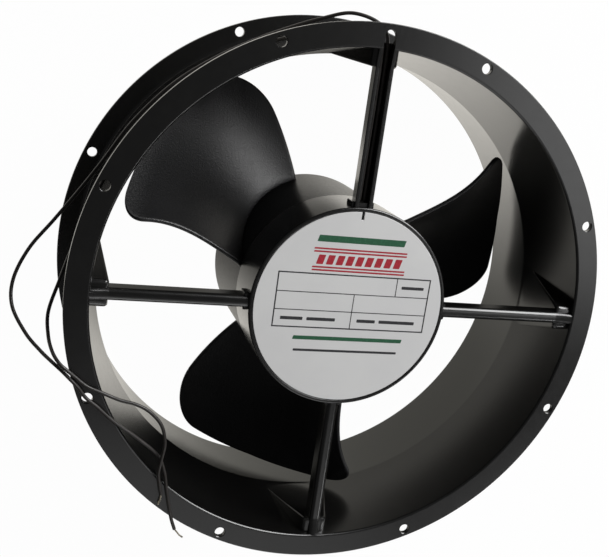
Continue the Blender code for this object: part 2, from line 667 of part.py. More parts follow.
def blade_sheet():
    """Middle surface of one blade, thickened to both sides."""
    root_span = -BLADE_ROOT_SINK / (BLADE_TIP_RADIUS - HUB_RADIUS)
    bm = bmesh.new()
    rows = []
    for row in range(BLADE_SPAN_STEPS + 1):
        reach = math.sin(math.pi / 2 * row / BLADE_SPAN_STEPS)
        span = root_span + (1 - root_span) * reach
        first = corner_inset(span, FRONT_CORNER_SHARES)
        last = 1 - corner_inset(span, REAR_CORNER_SHARES)
        points = []
        for column in range(BLADE_CHORD_STEPS + 1):
            chord = first + (last - first) * column / BLADE_CHORD_STEPS
            points.append(bm.verts.new(blade_point(span, chord)))
        rows.append(points)
    for row, following in zip(rows, rows[1:]):
        for index in range(BLADE_CHORD_STEPS):
            bm.faces.new((row[index], row[index + 1], following[index + 1], following[index]))
    sheet = finish_mesh("blade_sheet_0", bm, None)
    thicken = sheet.modifiers.new("thickness", "SOLIDIFY")
    thicken.thickness = BLADE_THICKNESS
    thicken.offset = 0
    thicken.use_even_offset = True
    return sheet


def build_impeller():
    """Hub shell open to the front, with the blades joined to it."""
    rear_edge = (HUB_RADIUS - HUB_EDGE_ROUND, HUB_REAR_SET_BACK + HUB_EDGE_ROUND)
    profile = [(0, HUB_REAR_INSIDE), (HUB_INNER_RADIUS, HUB_REAR_INSIDE)]
    profile += [(HUB_INNER_RADIUS, HUB_FRONT), (HUB_RADIUS, HUB_FRONT)]
    profile += arc(rear_edge, HUB_EDGE_ROUND, 0, -90, FILLET_STEPS)
    profile.append((0, HUB_REAR_SET_BACK))
    impeller = lathe("impeller", profile, HUB_STEPS, BLACK_MOULDING, closed=False)
    sheet = blade_sheet()
    solid = baked_mesh(sheet)
    use_as_tool(sheet)
    for index in range(BLADES):
        blade = place_mesh("blade_%d" % index, solid, None)
        join(impeller, turn(blade, -index * 360 / BLADES))
    hole = SCREW_RADIUS + FIT_GAP
    cut(impeller, screw_hole_tool("hub_screw_holes", hole, 0, HUB_REAR_INSIDE + FIT_GAP / 2))
    return impeller


def screw_hole_tool(name, radius, bottom, top):
    bm = bmesh.new()
    for index in range(IMPELLER_SCREWS):
        place = polar(SCREW_CIRCLE_RADIUS, index * 360 / IMPELLER_SCREWS, (bottom + top) / 2)
        bmesh.ops.create_cone(
            bm, cap_ends=True, segments=SMALL_STEPS, radius1=radius, radius2=radius,
            depth=top - bottom, matrix=Matrix.Translation(place),
        )
    return finish_mesh(name, bm, None)


def build_impeller_screws():
    """Pan-head screws from behind, through the hub into the rotor cup."""
    seat = HUB_REAR_SET_BACK - FIT_GAP
    under = seat - SCREW_HEAD_HEIGHT
    tip = CUP_REAR_INSIDE + SCREW_TIP_REACH
    profile = [
        (0, tip), (SCREW_RADIUS, tip),
        (SCREW_RADIUS, seat), (SCREW_HEAD_RADIUS, seat),
        (SCREW_HEAD_RADIUS, under + SCREW_HEAD_ROUND),
        (SCREW_HEAD_RADIUS - SCREW_HEAD_ROUND, under), (0, under),
    ]
    pattern = lathe("screw_pattern", profile, SMALL_STEPS, None, closed=False)
    half = SCREW_SLOT_WIDTH / 2
    reach = SCREW_HEAD_RADIUS + CUT_OVERRUN
    low = (-reach, -half, under - CUT_OVERRUN)
    cut(pattern, box("screw_slot_tool", low, (reach, half, under + SCREW_SLOT_DEPTH)))
    solid = baked_mesh(pattern)
    use_as_tool(pattern)
    for index in range(IMPELLER_SCREWS):
        screw = place_mesh("impeller_screw_%d" % (index + 1), solid.copy(), STEEL)
        screw.location = polar(SCREW_CIRCLE_RADIUS, index * 360 / IMPELLER_SCREWS, 0)


def build_rotor_cup():
    outer = CUP_RADIUS
    inner = outer - ROTOR_CUP_WALL
    bore = SHAFT_RADIUS + FIT_GAP
    profile = [
        (bore, CUP_REAR), (outer, CUP_REAR), (outer, CUP_FRONT), (inner, CUP_FRONT),
        (inner, CUP_REAR_INSIDE), (bore, CUP_REAR_INSIDE),
    ]
    cup = lathe("rotor_cup", profile, MOTOR_STEPS, STEEL)
    hole = SCREW_RADIUS + FIT_GAP
    cut(cup, screw_hole_tool("cup_screw_holes", hole, CUP_REAR - FIT_GAP / 2, CUP_REAR_INSIDE + CUT_OVERRUN))
    return cup


def build_rotor_ring():
    bottom = CORE_BOTTOM - ROTOR_RING_OVERHANG
    top = CORE_TOP + ROTOR_RING_OVERHANG
    profile = [(RING_BORE, bottom), (RING_RADIUS, bottom), (RING_RADIUS, top), (RING_BORE, top)]
    return lathe("rotor_ring", profile, MOTOR_STEPS, LAMINATION)


def build_shaft():
    """Round shaft with chamfered ends and a groove for the retaining clip."""
    neck = SHAFT_RADIUS - CLIP_GROOVE_DEPTH
    groove_low = CLIP_BOTTOM - FIT_GAP
    groove_high = CLIP_TOP + FIT_GAP
    tip = SHAFT_RADIUS - SHAFT_CHAMFER
    profile = [
        (0, SHAFT_REAR), (tip, SHAFT_REAR), (SHAFT_RADIUS, SHAFT_REAR + SHAFT_CHAMFER),
        (SHAFT_RADIUS, groove_low), (neck, groove_low), (neck, groove_high), (SHAFT_RADIUS, groove_high),
        (SHAFT_RADIUS, SHAFT_FRONT - SHAFT_CHAMFER), (tip, SHAFT_FRONT), (0, SHAFT_FRONT),
    ]
    return lathe("motor_shaft", profile, BEARING_STEPS, STEEL, closed=False)


def build_bushing():
    """Flanged collar between the rotor cup and the rear bearing."""
    bore = SHAFT_RADIUS + FIT_GAP
    top = BUSHING_BOTTOM + BUSHING_HEIGHT
    flange_top = BUSHING_BOTTOM + BUSHING_FLANGE_THICKNESS
    profile = [
        (bore, BUSHING_BOTTOM), (BUSHING_RADIUS, BUSHING_BOTTOM), (BUSHING_RADIUS, flange_top),
        (INNER_LAND, flange_top), (INNER_LAND, top), (bore, top),
    ]
    return lathe("shaft_bushing", profile, BEARING_STEPS, STEEL)


def build_bearing_tube():
    """Tube with a seat at each end and a shoulder between the bearings."""
    shoulder = TUBE_BORE - BEARING_SHOULDER
    rear_seat = REAR_BEARING_HEIGHT + BEARING_WIDTH + FIT_GAP
    front_seat = FRONT_BEARING_HEIGHT - FIT_GAP
    top = RECESS_FLOOR - FIT_GAP
    profile = [
        (TUBE_BORE, TUBE_BOTTOM), (TUBE_RADIUS, TUBE_BOTTOM), (TUBE_RADIUS, top), (TUBE_BORE, top),
        (TUBE_BORE, front_seat), (shoulder, front_seat), (shoulder, rear_seat), (TUBE_BORE, rear_seat),
    ]
    return lathe("bearing_tube", profile, MOTOR_STEPS, STEEL)


def race_profile(wall, land, deepest, bottom):
    """Race outline between its plain wall and its grooved land."""
    top = bottom + BEARING_WIDTH
    middle = bottom + BEARING_WIDTH / 2
    half = math.sqrt(GROOVE_RADIUS ** 2 - (land - BALL_CIRCLE) ** 2)
    return [
        (wall, bottom), (wall, top), (land, top), (land, middle + half),
        (deepest, middle), (land, middle - half), (land, bottom),
    ]


def build_bearing(label, bottom):
    bore = SHAFT_RADIUS + FIT_GAP
    outer = race_profile(BEARING_RADIUS, OUTER_LAND, BALL_CIRCLE + GROOVE_RADIUS, bottom)
    inner = race_profile(bore, INNER_LAND, BALL_CIRCLE - GROOVE_RADIUS, bottom)
    lathe(label + "_outer_race", outer, BEARING_STEPS, BEARING_STEEL)
    lathe(label + "_inner_race", inner, BEARING_STEPS, BEARING_STEEL)
    build_ball_set(label + "_balls", bottom + BEARING_WIDTH / 2)


def build_ball_set(name, height):
    """Balls held in a thin ring cage, as one body."""
    inner = BALL_CIRCLE - CAGE_WALL / 2
    outer = BALL_CIRCLE + CAGE_WALL / 2
    half = CAGE_WIDTH / 2
    profile = [(inner, -half), (outer, -half), (outer, half), (inner, half)]
    balls = lathe(name, profile, CAGE_STEPS, BEARING_STEEL)
    balls.location.z = height
    bm = bmesh.new()
    for index in range(BALLS):
        place = Matrix.Translation(polar(BALL_CIRCLE, index * 360 / BALLS, 0))
        bmesh.ops.create_uvsphere(
            bm, u_segments=BALL_SIDES, v_segments=BALL_RINGS, radius=BALL_RADIUS, matrix=place,
        )
    tool = finish_mesh(name + "_tool", bm, None)
    tool.location.z = height
    join(balls, tool)


def build_clip():
    """Open ring that snaps into the shaft's groove."""
    inner = SHAFT_RADIUS - CLIP_GROOVE_DEPTH + FIT_GAP
    half_opening = CLIP_OPENING_DEGREES / 2
    outline = arc((0, 0), CLIP_RADIUS, half_opening, 360 - half_opening, BEARING_STEPS)
    outline += arc((0, 0), inner, 360 - half_opening, half_opening, BEARING_STEPS)
    return prism("retaining_clip", outline, CLIP_BOTTOM, CLIP_TOP, STEEL)


def build_washer():
    """Wave washer that loads the front bearing."""
    inner = SHAFT_RADIUS + FIT_GAP
    outer = INNER_LAND + FIT_GAP
    bm = bmesh.new()
    rings = []
    for step in range(MOTOR_STEPS):
        degrees = step * 360 / MOTOR_STEPS
        wave = WASHER_WAVE / 2 * (1 + math.sin(math.radians(degrees * WASHER_WAVES)))
        low = WASHER_BASE + wave
        high = low + WASHER_THICKNESS
        corners = ((inner, low), (outer, low), (outer, high), (inner, high))
        rings.append([bm.verts.new(polar(radius, degrees, height)) for radius, height in corners])
    for ring, following in zip(rings, rings[1:] + rings[:1]):
        for index in range(len(ring)):
            after = (index + 1) % len(ring)
            bm.faces.new((ring[index], ring[after], following[after], following[index]))
    return finish_mesh("preload_washer", bm, STEEL)


def star_outline():
    """Outline of the core: a hub with teeth that end in pole shoes."""
    half = TOOTH_WIDTH / 2
    pitch = 360 / TEETH
    hub_side = math.degrees(math.asin(half / CORE_HUB_RADIUS))
    shoe_side = math.degrees(math.asin(half / SHOE_INNER_RADIUS))
    outline = []
    for index in range(TEETH):
        middle = index * pitch
        low = middle - POLE_SHOE_DEGREES / 2
        high = middle + POLE_SHOE_DEGREES / 2
        outline += arc((0, 0), SHOE_INNER_RADIUS, middle - shoe_side, low, NECK_STEPS)
        outline += arc((0, 0), STATOR_RADIUS, low, high, SHOE_STEPS)
        outline += arc((0, 0), SHOE_INNER_RADIUS, high, middle + shoe_side, NECK_STEPS)
        outline += arc((0, 0), CORE_HUB_RADIUS, middle + hub_side, middle + pitch - hub_side, NECK_STEPS)
    return outline


def tube_hole_tool(name, bottom, top):
    profile = [(0, bottom), (CORE_BORE, bottom), (CORE_BORE, top), (0, top)]
    return lathe(name, profile, MOTOR_STEPS, None, closed=False)


def build_core():
    core = prism("stator_core", star_outline(), CORE_BOTTOM, CORE_TOP, LAMINATION)
    cut(core, tube_hole_tool("core_bore_tool", CORE_BOTTOM - CUT_OVERRUN, CORE_TOP + CUT_OVERRUN))
    return core


def build_insulator(name, face, direction):
    """End plate over the core and a collar round the bearing tube."""
    near = face + direction * FIT_GAP
    far = near + direction * INSULATOR_THICKNESS
    collar_end = far + direction * COLLAR_HEIGHT
    plate = prism(name, star_outline(), min(near, far), max(near, far), INSULATOR_WHITE)
    collar = CORE_BORE + COLLAR_WALL
    profile = [(0, near), (collar, near), (collar, collar_end), (0, collar_end)]
    join(plate, lathe(name + "_collar", profile, MOTOR_STEPS, None, closed=False))
    low = min(near, collar_end) - CUT_OVERRUN
    high = max(near, collar_end) + CUT_OVERRUN
    cut(plate, tube_hole_tool(name + "_bore", low, high))
    return plate


def build_coil(index):
    """Winding round one tooth: a rounded frame between the core's hub and its pole shoe."""
    plate = FIT_GAP + INSULATOR_THICKNESS
    window_low = CORE_BOTTOM - plate - FIT_GAP
    window_high = CORE_TOP + plate + FIT_GAP
    near = CORE_HUB_RADIUS + FIT_GAP
    far = math.sqrt(SHOE_INNER_RADIUS ** 2 - (COIL_WINDOW + COIL_THICKNESS) ** 2) - FIT_GAP
    height = (window_high - window_low) / 2
    middle = (window_high + window_low) / 2
    inner = rounded_outline(2 * COIL_WINDOW, 2 * height, FIT_GAP)
    outer = rounded_outline(2 * (COIL_WINDOW + COIL_THICKNESS), 2 * (height + COIL_THICKNESS), COIL_THICKNESS)
    bm = bmesh.new()
    loops = []
    for outline, radius in ((inner, near), (outer, near), (outer, far), (inner, far)):
        loops.append([bm.verts.new((radius, across, middle + up)) for across, up in outline])
    count = len(inner)
    for loop, following in zip(loops, loops[1:] + loops[:1]):
        for step in range(count):
            after = (step + 1) % count
            bm.faces.new((loop[step], loop[after], following[after], following[step]))
    coil = finish_mesh("winding_coil_%d" % (index + 1), bm, COPPER)
    return turn(coil, index * 360 / TEETH)


def build_board():
    """Ring board on the front insulator's collar."""
    profile = [
        (CORE_BORE, BOARD_BOTTOM), (BOARD_RADIUS, BOARD_BOTTOM),
        (BOARD_RADIUS, BOARD_TOP), (CORE_BORE, BOARD_TOP),
    ]
    return lathe("terminal_board", profile, MOTOR_STEPS, BOARD_TAN)


def build_block(name, outline, bottom, height, radius, degrees, finish):
    """Upright block whose outline faces outwards at a place round the axis."""
    block = prism(name, outline, bottom, bottom + height, finish)
    block.location = polar(radius, degrees, 0)
    block.rotation_euler.z = math.radians(degrees)
    return block


def build_protector():
    outline = rounded_outline(PROTECTOR_WIDTH, PROTECTOR_LENGTH, PROTECTOR_ROUND)
    radius = (CORE_BORE + BOARD_RADIUS) / 2
    bottom = BOARD_TOP + FIT_GAP
    return build_block(
        "thermal_protector", outline, bottom, PROTECTOR_HEIGHT, radius, PROTECTOR_DEGREES, PROTECTOR_BLACK,
    )


def build_capacitor():
    """Motor capacitor, fixed to the inside of the base's front wall."""
    outline = rounded_outline(CAPACITOR_WIDTH, CAPACITOR_LENGTH, CAPACITOR_ROUND)
    radius = (BOSS_RADIUS + BASE_INNER_RADIUS) / 2
    bottom = BASE_CEILING - FIT_GAP - CAPACITOR_HEIGHT
    return build_block(
        "run_capacitor", outline, bottom, CAPACITOR_HEIGHT, radius, CAPACITOR_DEGREES, CAPACITOR_GREY,
    )


def smooth_route(points, count):
    """Points on a smooth curve through a route's own points, set closer in its bends."""
    route = [Vector(point) for point in points]
    padded = [2 * route[0] - route[1]] + route + [2 * route[-1] - route[-2]]
    fine = []
    for before, start, end, after in zip(padded, padded[1:], padded[2:], padded[3:]):
        for step in range(ROUTE_STEPS):
            share = step / ROUTE_STEPS
            fine.append(0.5 * (
                2 * start + (end - before) * share
                + (2 * before - 5 * start + 4 * end - after) * share ** 2
                + (3 * start - before - 3 * end + after) * share ** 3
            ))
    fine.append(route[-1])
    travelled = [0]
    heading = fine[1] - fine[0]
    for point, following in zip(fine, fine[1:]):
        step = following - point
        travelled.append(travelled[-1] + step.length + LEAD_BEND_REACH * heading.angle(step))
        heading = step
    spaced = []
    place = 0
    for index in range(count):
        goal = travelled[-1] * index / (count - 1)
        while place < len(fine) - 2 and travelled[place + 1] < goal:
            place += 1
        stretch = travelled[place + 1] - travelled[place]
        spaced.append(fine[place].lerp(fine[place + 1], min(1, (goal - travelled[place]) / stretch)))
    return spaced


def build_wire(name, route, diameter, count, finish):
    """Round wire along a smooth route, as a bevelled curve with closed ends."""
    curve = bpy.data.curves.new(name, "CURVE")
    curve.dimensions = "3D"
    curve.bevel_depth = diameter / 2
    curve.bevel_resolution = 2
    curve.use_fill_caps = True
    spline = curve.splines.new("POLY")
    points = smooth_route(route, count)
    spline.points.add(len(points) - 1)
    for target, point in zip(spline.points, points):
        target.co = (*point, 1)
    spline.use_smooth = True
    wire = bpy.data.objects.new(name, curve)
    bpy.context.collection.objects.link(wire)
    curve.materials.append(make_material(name, finish))
    return wire


def inner_lead_route(side):
    """A lead's hidden way down from the grommet to its solder point on the board."""
    start = (LEAD_SPREAD, GROMMET_INNER_END - GROMMET_LIP - FIT_GAP, LEAD_HEIGHT)
    end = (SOLDER_SPREAD, SOLDER_REACH, BOARD_TOP + FIT_GAP + LEAD_DIAMETER / 2)
    shares = ((0, 0, 0),) + INNER_LEAD_SHARES + ((1, 1, 1),)
    route = []
    for row in shares:
        across, inwards, height = (a + (b - a) * share for a, b, share in zip(start, end, row))
        route.append((side * across, inwards, height))
    return route


def build_leads():
    """Both leads with their bare tips, and their hidden stretches inside the base."""
    leads = ((1, 1, LEAD_1_ROUTE, TIP_1_ROUTE), (2, -1, LEAD_2_ROUTE, TIP_2_ROUTE))
    for number, side, route, tip_route in leads:
        outer = ((side * LEAD_SPREAD, GROMMET_OUTER_END, LEAD_HEIGHT),) + route
        lead = build_wire("lead_wire_%d" % number, outer, LEAD_DIAMETER, LEAD_POINTS, LEAD_BLACK)
        inner = inner_lead_route(side)
        build_wire("inner_lead_%d" % number, inner, LEAD_DIAMETER, INNER_LEAD_POINTS, LEAD_BLACK)
        ends = [Vector(point.co[:3]) for point in lead.data.splines[0].points[-2:]]
        start = ends[1] + (ends[1] - ends[0]).normalized() * FIT_GAP
        tip = (start,) + tip_route
        build_wire("bare_tip_%d" % number, tip, BARE_TIP_DIAMETER, TIP_POINTS, TINNED_COPPER)


def parent_rotor():
    """Hang every turning piece from an empty on the axis."""
    axis = bpy.data.objects.new("impeller_axis", None)
    bpy.context.collection.objects.link(axis)
    names = ["impeller", "rotor_cup", "rotor_ring", "motor_shaft", "shaft_bushing", "retaining_clip"]
    names += ["preload_washer", "front_bearing_inner_race", "rear_bearing_inner_race"]
    names += ["impeller_screw_%d" % (index + 1) for index in range(IMPELLER_SCREWS)]
    for name in names:
        bpy.data.objects[name].parent = axis


def main():
    clear_scene()
    build_housing()
    build_spider()
    build_nameplate()
    build_grommet()
    build_impeller()
    build_impeller_screws()
    build_rotor_cup()
    build_rotor_ring()
    build_shaft()
    build_bushing()
    build_bearing_tube()
    build_bearing("front_bearing", FRONT_BEARING_HEIGHT)
    build_bearing("rear_bearing", REAR_BEARING_HEIGHT)
    build_clip()
    build_washer()
    build_core()
    build_insulator("stator_insulator_front", CORE_TOP, 1)
    build_insulator("stator_insulator_rear", CORE_BOTTOM, -1)
    for index in range(TEETH):
        build_coil(index)
    build_board()
    build_protector()
    build_capacitor()
    build_leads()
    parent_rotor()


main()
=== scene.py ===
"""Looks of a tubeaxial fan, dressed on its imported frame. Everything is in metres, with +Z up."""

import math

import bmesh
import bpy
from mathutils import Matrix, Vector


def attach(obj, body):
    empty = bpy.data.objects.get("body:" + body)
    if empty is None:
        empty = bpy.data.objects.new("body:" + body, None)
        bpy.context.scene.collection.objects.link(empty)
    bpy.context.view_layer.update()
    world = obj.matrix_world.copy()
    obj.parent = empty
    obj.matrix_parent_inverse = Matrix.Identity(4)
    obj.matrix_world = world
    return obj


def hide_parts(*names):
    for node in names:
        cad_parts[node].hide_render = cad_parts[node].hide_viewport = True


QUARTER_TURN = 90
THIRD_TURN = 120

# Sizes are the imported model's own, but the pads and the lead slot follow the photograph more closely

# Housing
FLANGE_RADIUS = 0.127
FAN_DEPTH = 0.089
FIT_GAP = 0.0003
OVERRUN = 0.002
FLANGE_THICKNESS = 0.0024
FRONT_OPENING_RADIUS = 0.116
THROAT_RADIUS = 0.1108
REAR_OPENING_RADIUS = 0.114
THROAT_HEIGHT = 0.0445
THROAT_EASE = 0.0006
TUBE_RINGS = (0.07, THROAT_HEIGHT + THROAT_EASE, THROAT_HEIGHT, THROAT_HEIGHT - THROAT_EASE, 0.02)
TUBE_WALL = 0.003
FLANGE_EDGE_ROUND = 0.0004
FRONT_LIP_ROUND = 0.0012
REAR_LIP_ROUND = 0.0024
FLANGE_FILLET = 0.002
BOLT_COUNT = 8
BOLT_FIRST_ANGLE = 22.5
BOLT_CIRCLE_RADIUS = 0.123
BOLT_HOLE_RADIUS = 0.0024
BOLT_HOLE_CHAMFER = 0.0003
BOLT_OVERRUN = 0.001
LEAD_SLOT_WIDTH = 0.0052
LEAD_SLOT_REACH = 0.1244

# Struts and their pads
LEAD_STRUT_INDEX = 1
STRUT_WIDTH = 0.0057
STRUT_TOP = 0.0876
STRUT_BOTTOM = 0.079
STRUT_NOSE_ROUND = 0.0022
STRUT_EDGE_ROUND = 0.0004
LEAD_STRUT_WIDTH = 0.0084
LEAD_STRUT_ROUND = 0.0003
CHANNEL_WIDTH = 0.0046
CHANNEL_FLOOR = 0.0825
PAD_FRONT_WIDTH = 0.0115
PAD_FRONT = 0.108
PAD_THROAT = 0.1111
PAD_THROAT_WIDTH = 0.0345
PAD_MIDDLE = 0.075
PAD_ROUND = 0.0016
PAD_EASE_SHARE = 0.3
PAD_CORNER_FADE = 1.1
STRUT_END_TOP = 0.0888
STRUT_END_SHARES = (0.0, 0.35, 0.7, 1.0)
FOOT_TOP = 0.0864
FOOT_BOTTOM = 0.0795
STRUT_ROOT_SINK = 0.0016
FOOT_ROOT_SINK = 0.0012

# Motor base
BASE_RADIUS = 0.047
BASE_BOTTOM = 0.061
BASE_INNER_RADIUS = 0.0444
BASE_EDGE_ROUND = 0.0008
BASE_RIM_ROUND = 0.0003
BASE_CEILING = 0.0855
RECESS_RADIUS = 0.0453
RECESS_FLOOR = 0.0881
HUB_FOOT_END = 0.049
HUB_FOOT_MARGIN = 0.0012
HUB_FOOT_ROUND = 0.0006
HUB_FOOT_INSET_SHARE = 0.6
BOSS_BORE = 0.0138
BOSS_RADIUS = 0.0168
BOSS_BOTTOM = 0.0635
GROMMET_WIDTH = 0.0046
GROMMET_HEIGHT = 0.0026

# Nameplate
PLATE_RADIUS = 0.045
PLATE_BOTTOM = 0.0884
PLATE_NOTCH_WIDTH = 0.0012
PLATE_NOTCH_LENGTH = 0.0036
PLATE_EDGE_ROUND = 0.0002
PLATE_EASE_SHARE = 0.4
INK_SINK = 0.0001
INK_RISE = 0.00003
INK_CORNER = 0.0003
INK_CORNER_PER_MM = 0.00045

# Print on the plate, in millimetres from its middle. A bar is (left, right, bottom, top)
MILLIMETRE = 0.001
TABLE_LEFT, TABLE_RIGHT = -35.3, 37.7
TABLE_BOTTOM, TABLE_TOP = -9.9, 15.5
TABLE_LOW_RULE, TABLE_HIGH_RULE = -1.8, 6.7
TABLE_UPPER_SPLIT, TABLE_LOWER_SPLIT = 21.4, 1.5
TABLE_EDGE_HALF, TABLE_RULE_HALF = 0.3, 0.2
DASHES = (
    (24.0, 35.0, 10.4, 11.8), (-32.0, -21.5, -6.6, -5.1), (-19.6, -6.0, -6.6, -5.1),
    (4.5, 13.5, -6.6, -5.1), (15.4, 33.0, -6.6, -5.1), (-24.0, 26.5, -21.4, -20.3),
)
BAR_SLANT = 0.25
GREEN_BARS = ((-19.5, 22.0, 30.4, 33.4), (-25.0, 28.0, -15.8, -14.0))
RED_LINE_LEFT, RED_LINE_RIGHT = -20.5, 24.0
RED_LINE_BOTTOMS = (26.9, 25.5, 18.3, 16.9)
RED_LINE_HEIGHT = 0.75
RED_BLOCK = (-18.8, -15.6, 20.0, 24.4)
RED_BLOCK_PITCH = 4.6
RED_BLOCK_COUNT = 9

# Impeller. Each row of a blade is three (degrees, share of the depth), from the hub to the tip
HUB_RADIUS = 0.0465
HUB_FRONT = 0.06
HUB_INNER_RADIUS = 0.044
HUB_REAR = 0.002
HUB_REAR_INSIDE = 0.0045
HUB_EDGE_ROUND = 0.0016
HUB_RIM_ROUND = 0.0004
BLADE_COUNT = 3
BLADE_TIP_RADIUS = 0.1075
BLADE_THICKNESS = 0.0022
BLADE_ROOT_SINK = 0.0012
BLADE_ROOT_FILLET = 0.0024
BLADE_FILLET_SHARE = 0.45
BLADE_SECTIONS = (
    ((168.2, 0.663), (148.7, 0.194), (104.2, 0.149)),
    ((161.9, 0.673), (144.5, 0.157), (107.8, 0.093)),
    ((166.4, 0.704), (140.2, 0.106), (113.0, 0.087)),
)
BLADE_SPANS = 36
BLADE_CHORDS = 44
BLADE_EDGE_LIMIT = 1e-7
FRONT_CORNER = (0.18, 0.14)
REAR_CORNER = (0.43, 0.18)
SCREW_COUNT = 3
SCREW_CIRCLE_RADIUS = 0.028
SCREW_HOLE_RADIUS = 0.0018

# Leads
LEAD_DIAMETER = 0.0016
LEAD_HEIGHT = 0.0836
LEAD_START = 0.0493
LEAD_SPREAD = 0.00105
LEAD_BEND_REACH = 0.008
LEAD_POINTS = 420
LEAD_ROUNDNESS = 6
TIP_DIAMETER = 0.0008
TIP_GAP_SHARE = 0.2
TIP_POINTS = 40
STRAND_DIAMETER = 0.00027
STRAND_PITCH = 0.005
STRAND_SIDES = 8
OUTER_STRANDS = 6
INNER_LEAD_START = 0.043
INNER_LEAD_END = (0.0056, 0.024514, 0.0587)
INNER_LEAD_SHARES = (
    (0, 0, 0), (0.12, 0.16, 0.01), (0.34, 0.43, 0.145), (0.6, 0.7, 0.466), (0.87, 0.92, 0.787), (1, 1, 1),
)
INNER_LEAD_POINTS = 90

# Windings
COIL_COUNT = 4
COIL_NEAR = 0.0186
COIL_FAR = 0.0255
COIL_WINDOW = 0.0063
COIL_HALF_HEIGHT = 0.0166
COIL_MIDDLE = 0.0324
COIL_THICKNESS = 0.0045
COIL_CORNER = 0.0003
COIL_WIRE = 0.0009
COIL_WIRE_SHARE = 0.97
COIL_ROUNDNESS = 2

# Steps of round shapes, and limits for meshes
HOUSING_STEPS = 240
HUB_STEPS = 192
PLATE_STEPS = 180
HOLE_STEPS = 28
SLOT_STEPS = 20
LIP_STEPS = 8
FILLET_STEPS = 6
EDGE_STEPS = 4
RIM_STEPS = 3
ROUTE_STEPS = 16
SAME_PLACE = 0.0000005
POLISH_MERGE = 0.000002
POLISH_SLIVER = 0.000001
POLISH_WEIGHT = 80
NODE_WELD = 0.000001
SHARP_ANGLE = 35
NODE_SHARP_ANGLE = 32

# Materials. The wave texture turns through WAVE_RATE radians for each unit of its scale and length
NOISE_ROUGHNESS = 0.55
BAND_DISTORTION = 0.4
WAVE_RATE = 20
SHEET_PERIOD = 0.0005
WEAVE_PERIOD = 0.0006
PAINT_COLOUR = (0.0036, 0.0035, 0.0033)
PAINT_DRIFT = (0.0046, 0.0045, 0.0042)
PAINT_ROUGHNESS = 0.245

# Finishes: colour, the colour it drifts to and roughness, then three noises by scale and detail: for the
# drift, for the gloss with its span of roughness, and for the relief with its strength and depth
IMPELLER_FINISH = (
    (0.012, 0.012, 0.0126), (0.014, 0.014, 0.0147), 0.31,
    (45, 4), (1000, 2, 0.285, 0.345), (1300, 2, 0.6, 0.00016),
)
PLATE_FINISH = (
    (0.79, 0.79, 0.785), (0.755, 0.755, 0.755), 0.42,
    (28, 3), (300, 3, 0.36, 0.48), (2600, 2, 0.12, 0.00001),
)
RUBBER_FINISH = (
    (0.013, 0.013, 0.013), (0.0195, 0.0195, 0.0195), 0.62,
    (240, 4), (500, 3, 0.55, 0.72), (1800, 3, 0.3, 0.00003),
)
LEAD_FINISH = (
    (0.026, 0.023, 0.021), (0.036, 0.033, 0.031), 0.32,
    (150, 4, 0.45, 0.75), (420, 3, 0.28, 0.42), (900, 3, 0.25, 0.00003),
)
COPPER_FINISH = (
    (0.5, 0.17, 0.07), (0.36, 0.11, 0.045), 0.26,
    (300, 4), (700, 3, 0.2, 0.34), (1500, 2, 0.1, 0.00001), 0.9,
)

# Camera and studio
CAMERA_PLACE = (-0.14876, 0.121767, 0.488035)
CAMERA_TURN = (-0.294516, -0.266805, 0.14098)
CAMERA_LENS = 57.252
CAMERA_SENSOR = 36
CAMERA_CLIP = (0.02, 20)
WORLD_LIGHT = 0.055
LAMP_TARGET = (0, 0, 0.05)
LAMPS = (
    ("key", (0.75, 0.75, 0.62), 0.8, 16.5),
    ("right", (0.8, -0.02, 1.15), 0.5, 1.0),
    ("low", (0.18, -0.95, 1.15), 0.8, 0.9),
    ("front", (0.15, -1.15, 0.55), 0.6, 1.6),
    ("rim", (0.95, -0.85, 0.95), 0.3, 1.2),
)
FLOOR_REACH = 6
FLOOR_DROP = 0.0002
FLOOR_COLOUR = (0.8, 0.8, 0.8)
FLOOR_ROUGHNESS = 0.9
FLOOR_SEEN_SHARE = 0.98

# The floor to mirror rays, a painted reflection: a warm white that rises along an axis, with soft dark
# patches of painted shadow. A patch has its centre, and the distances where its shade starts to fade and ends
MIRROR_AXIS = (-0.5, 0.87, 0)
MIRROR_RISE = (-0.09, 0.01)
MIRROR_DIM = (0.29, 0.282, 0.254)
MIRROR_BRIGHT = (0.88, 0.85, 0.785)
MIRROR_SHADE = (0.13, 0.126, 0.115)
MIRROR_SHADOW_PATCHES = (
    ((-0.075, 0.045, 0), 0.022, 0.1),
    ((-0.013, 0.098, 0), 0.022, 0.045),
    ((-0.12, -0.03, 0), 0.0, 0.06),
)

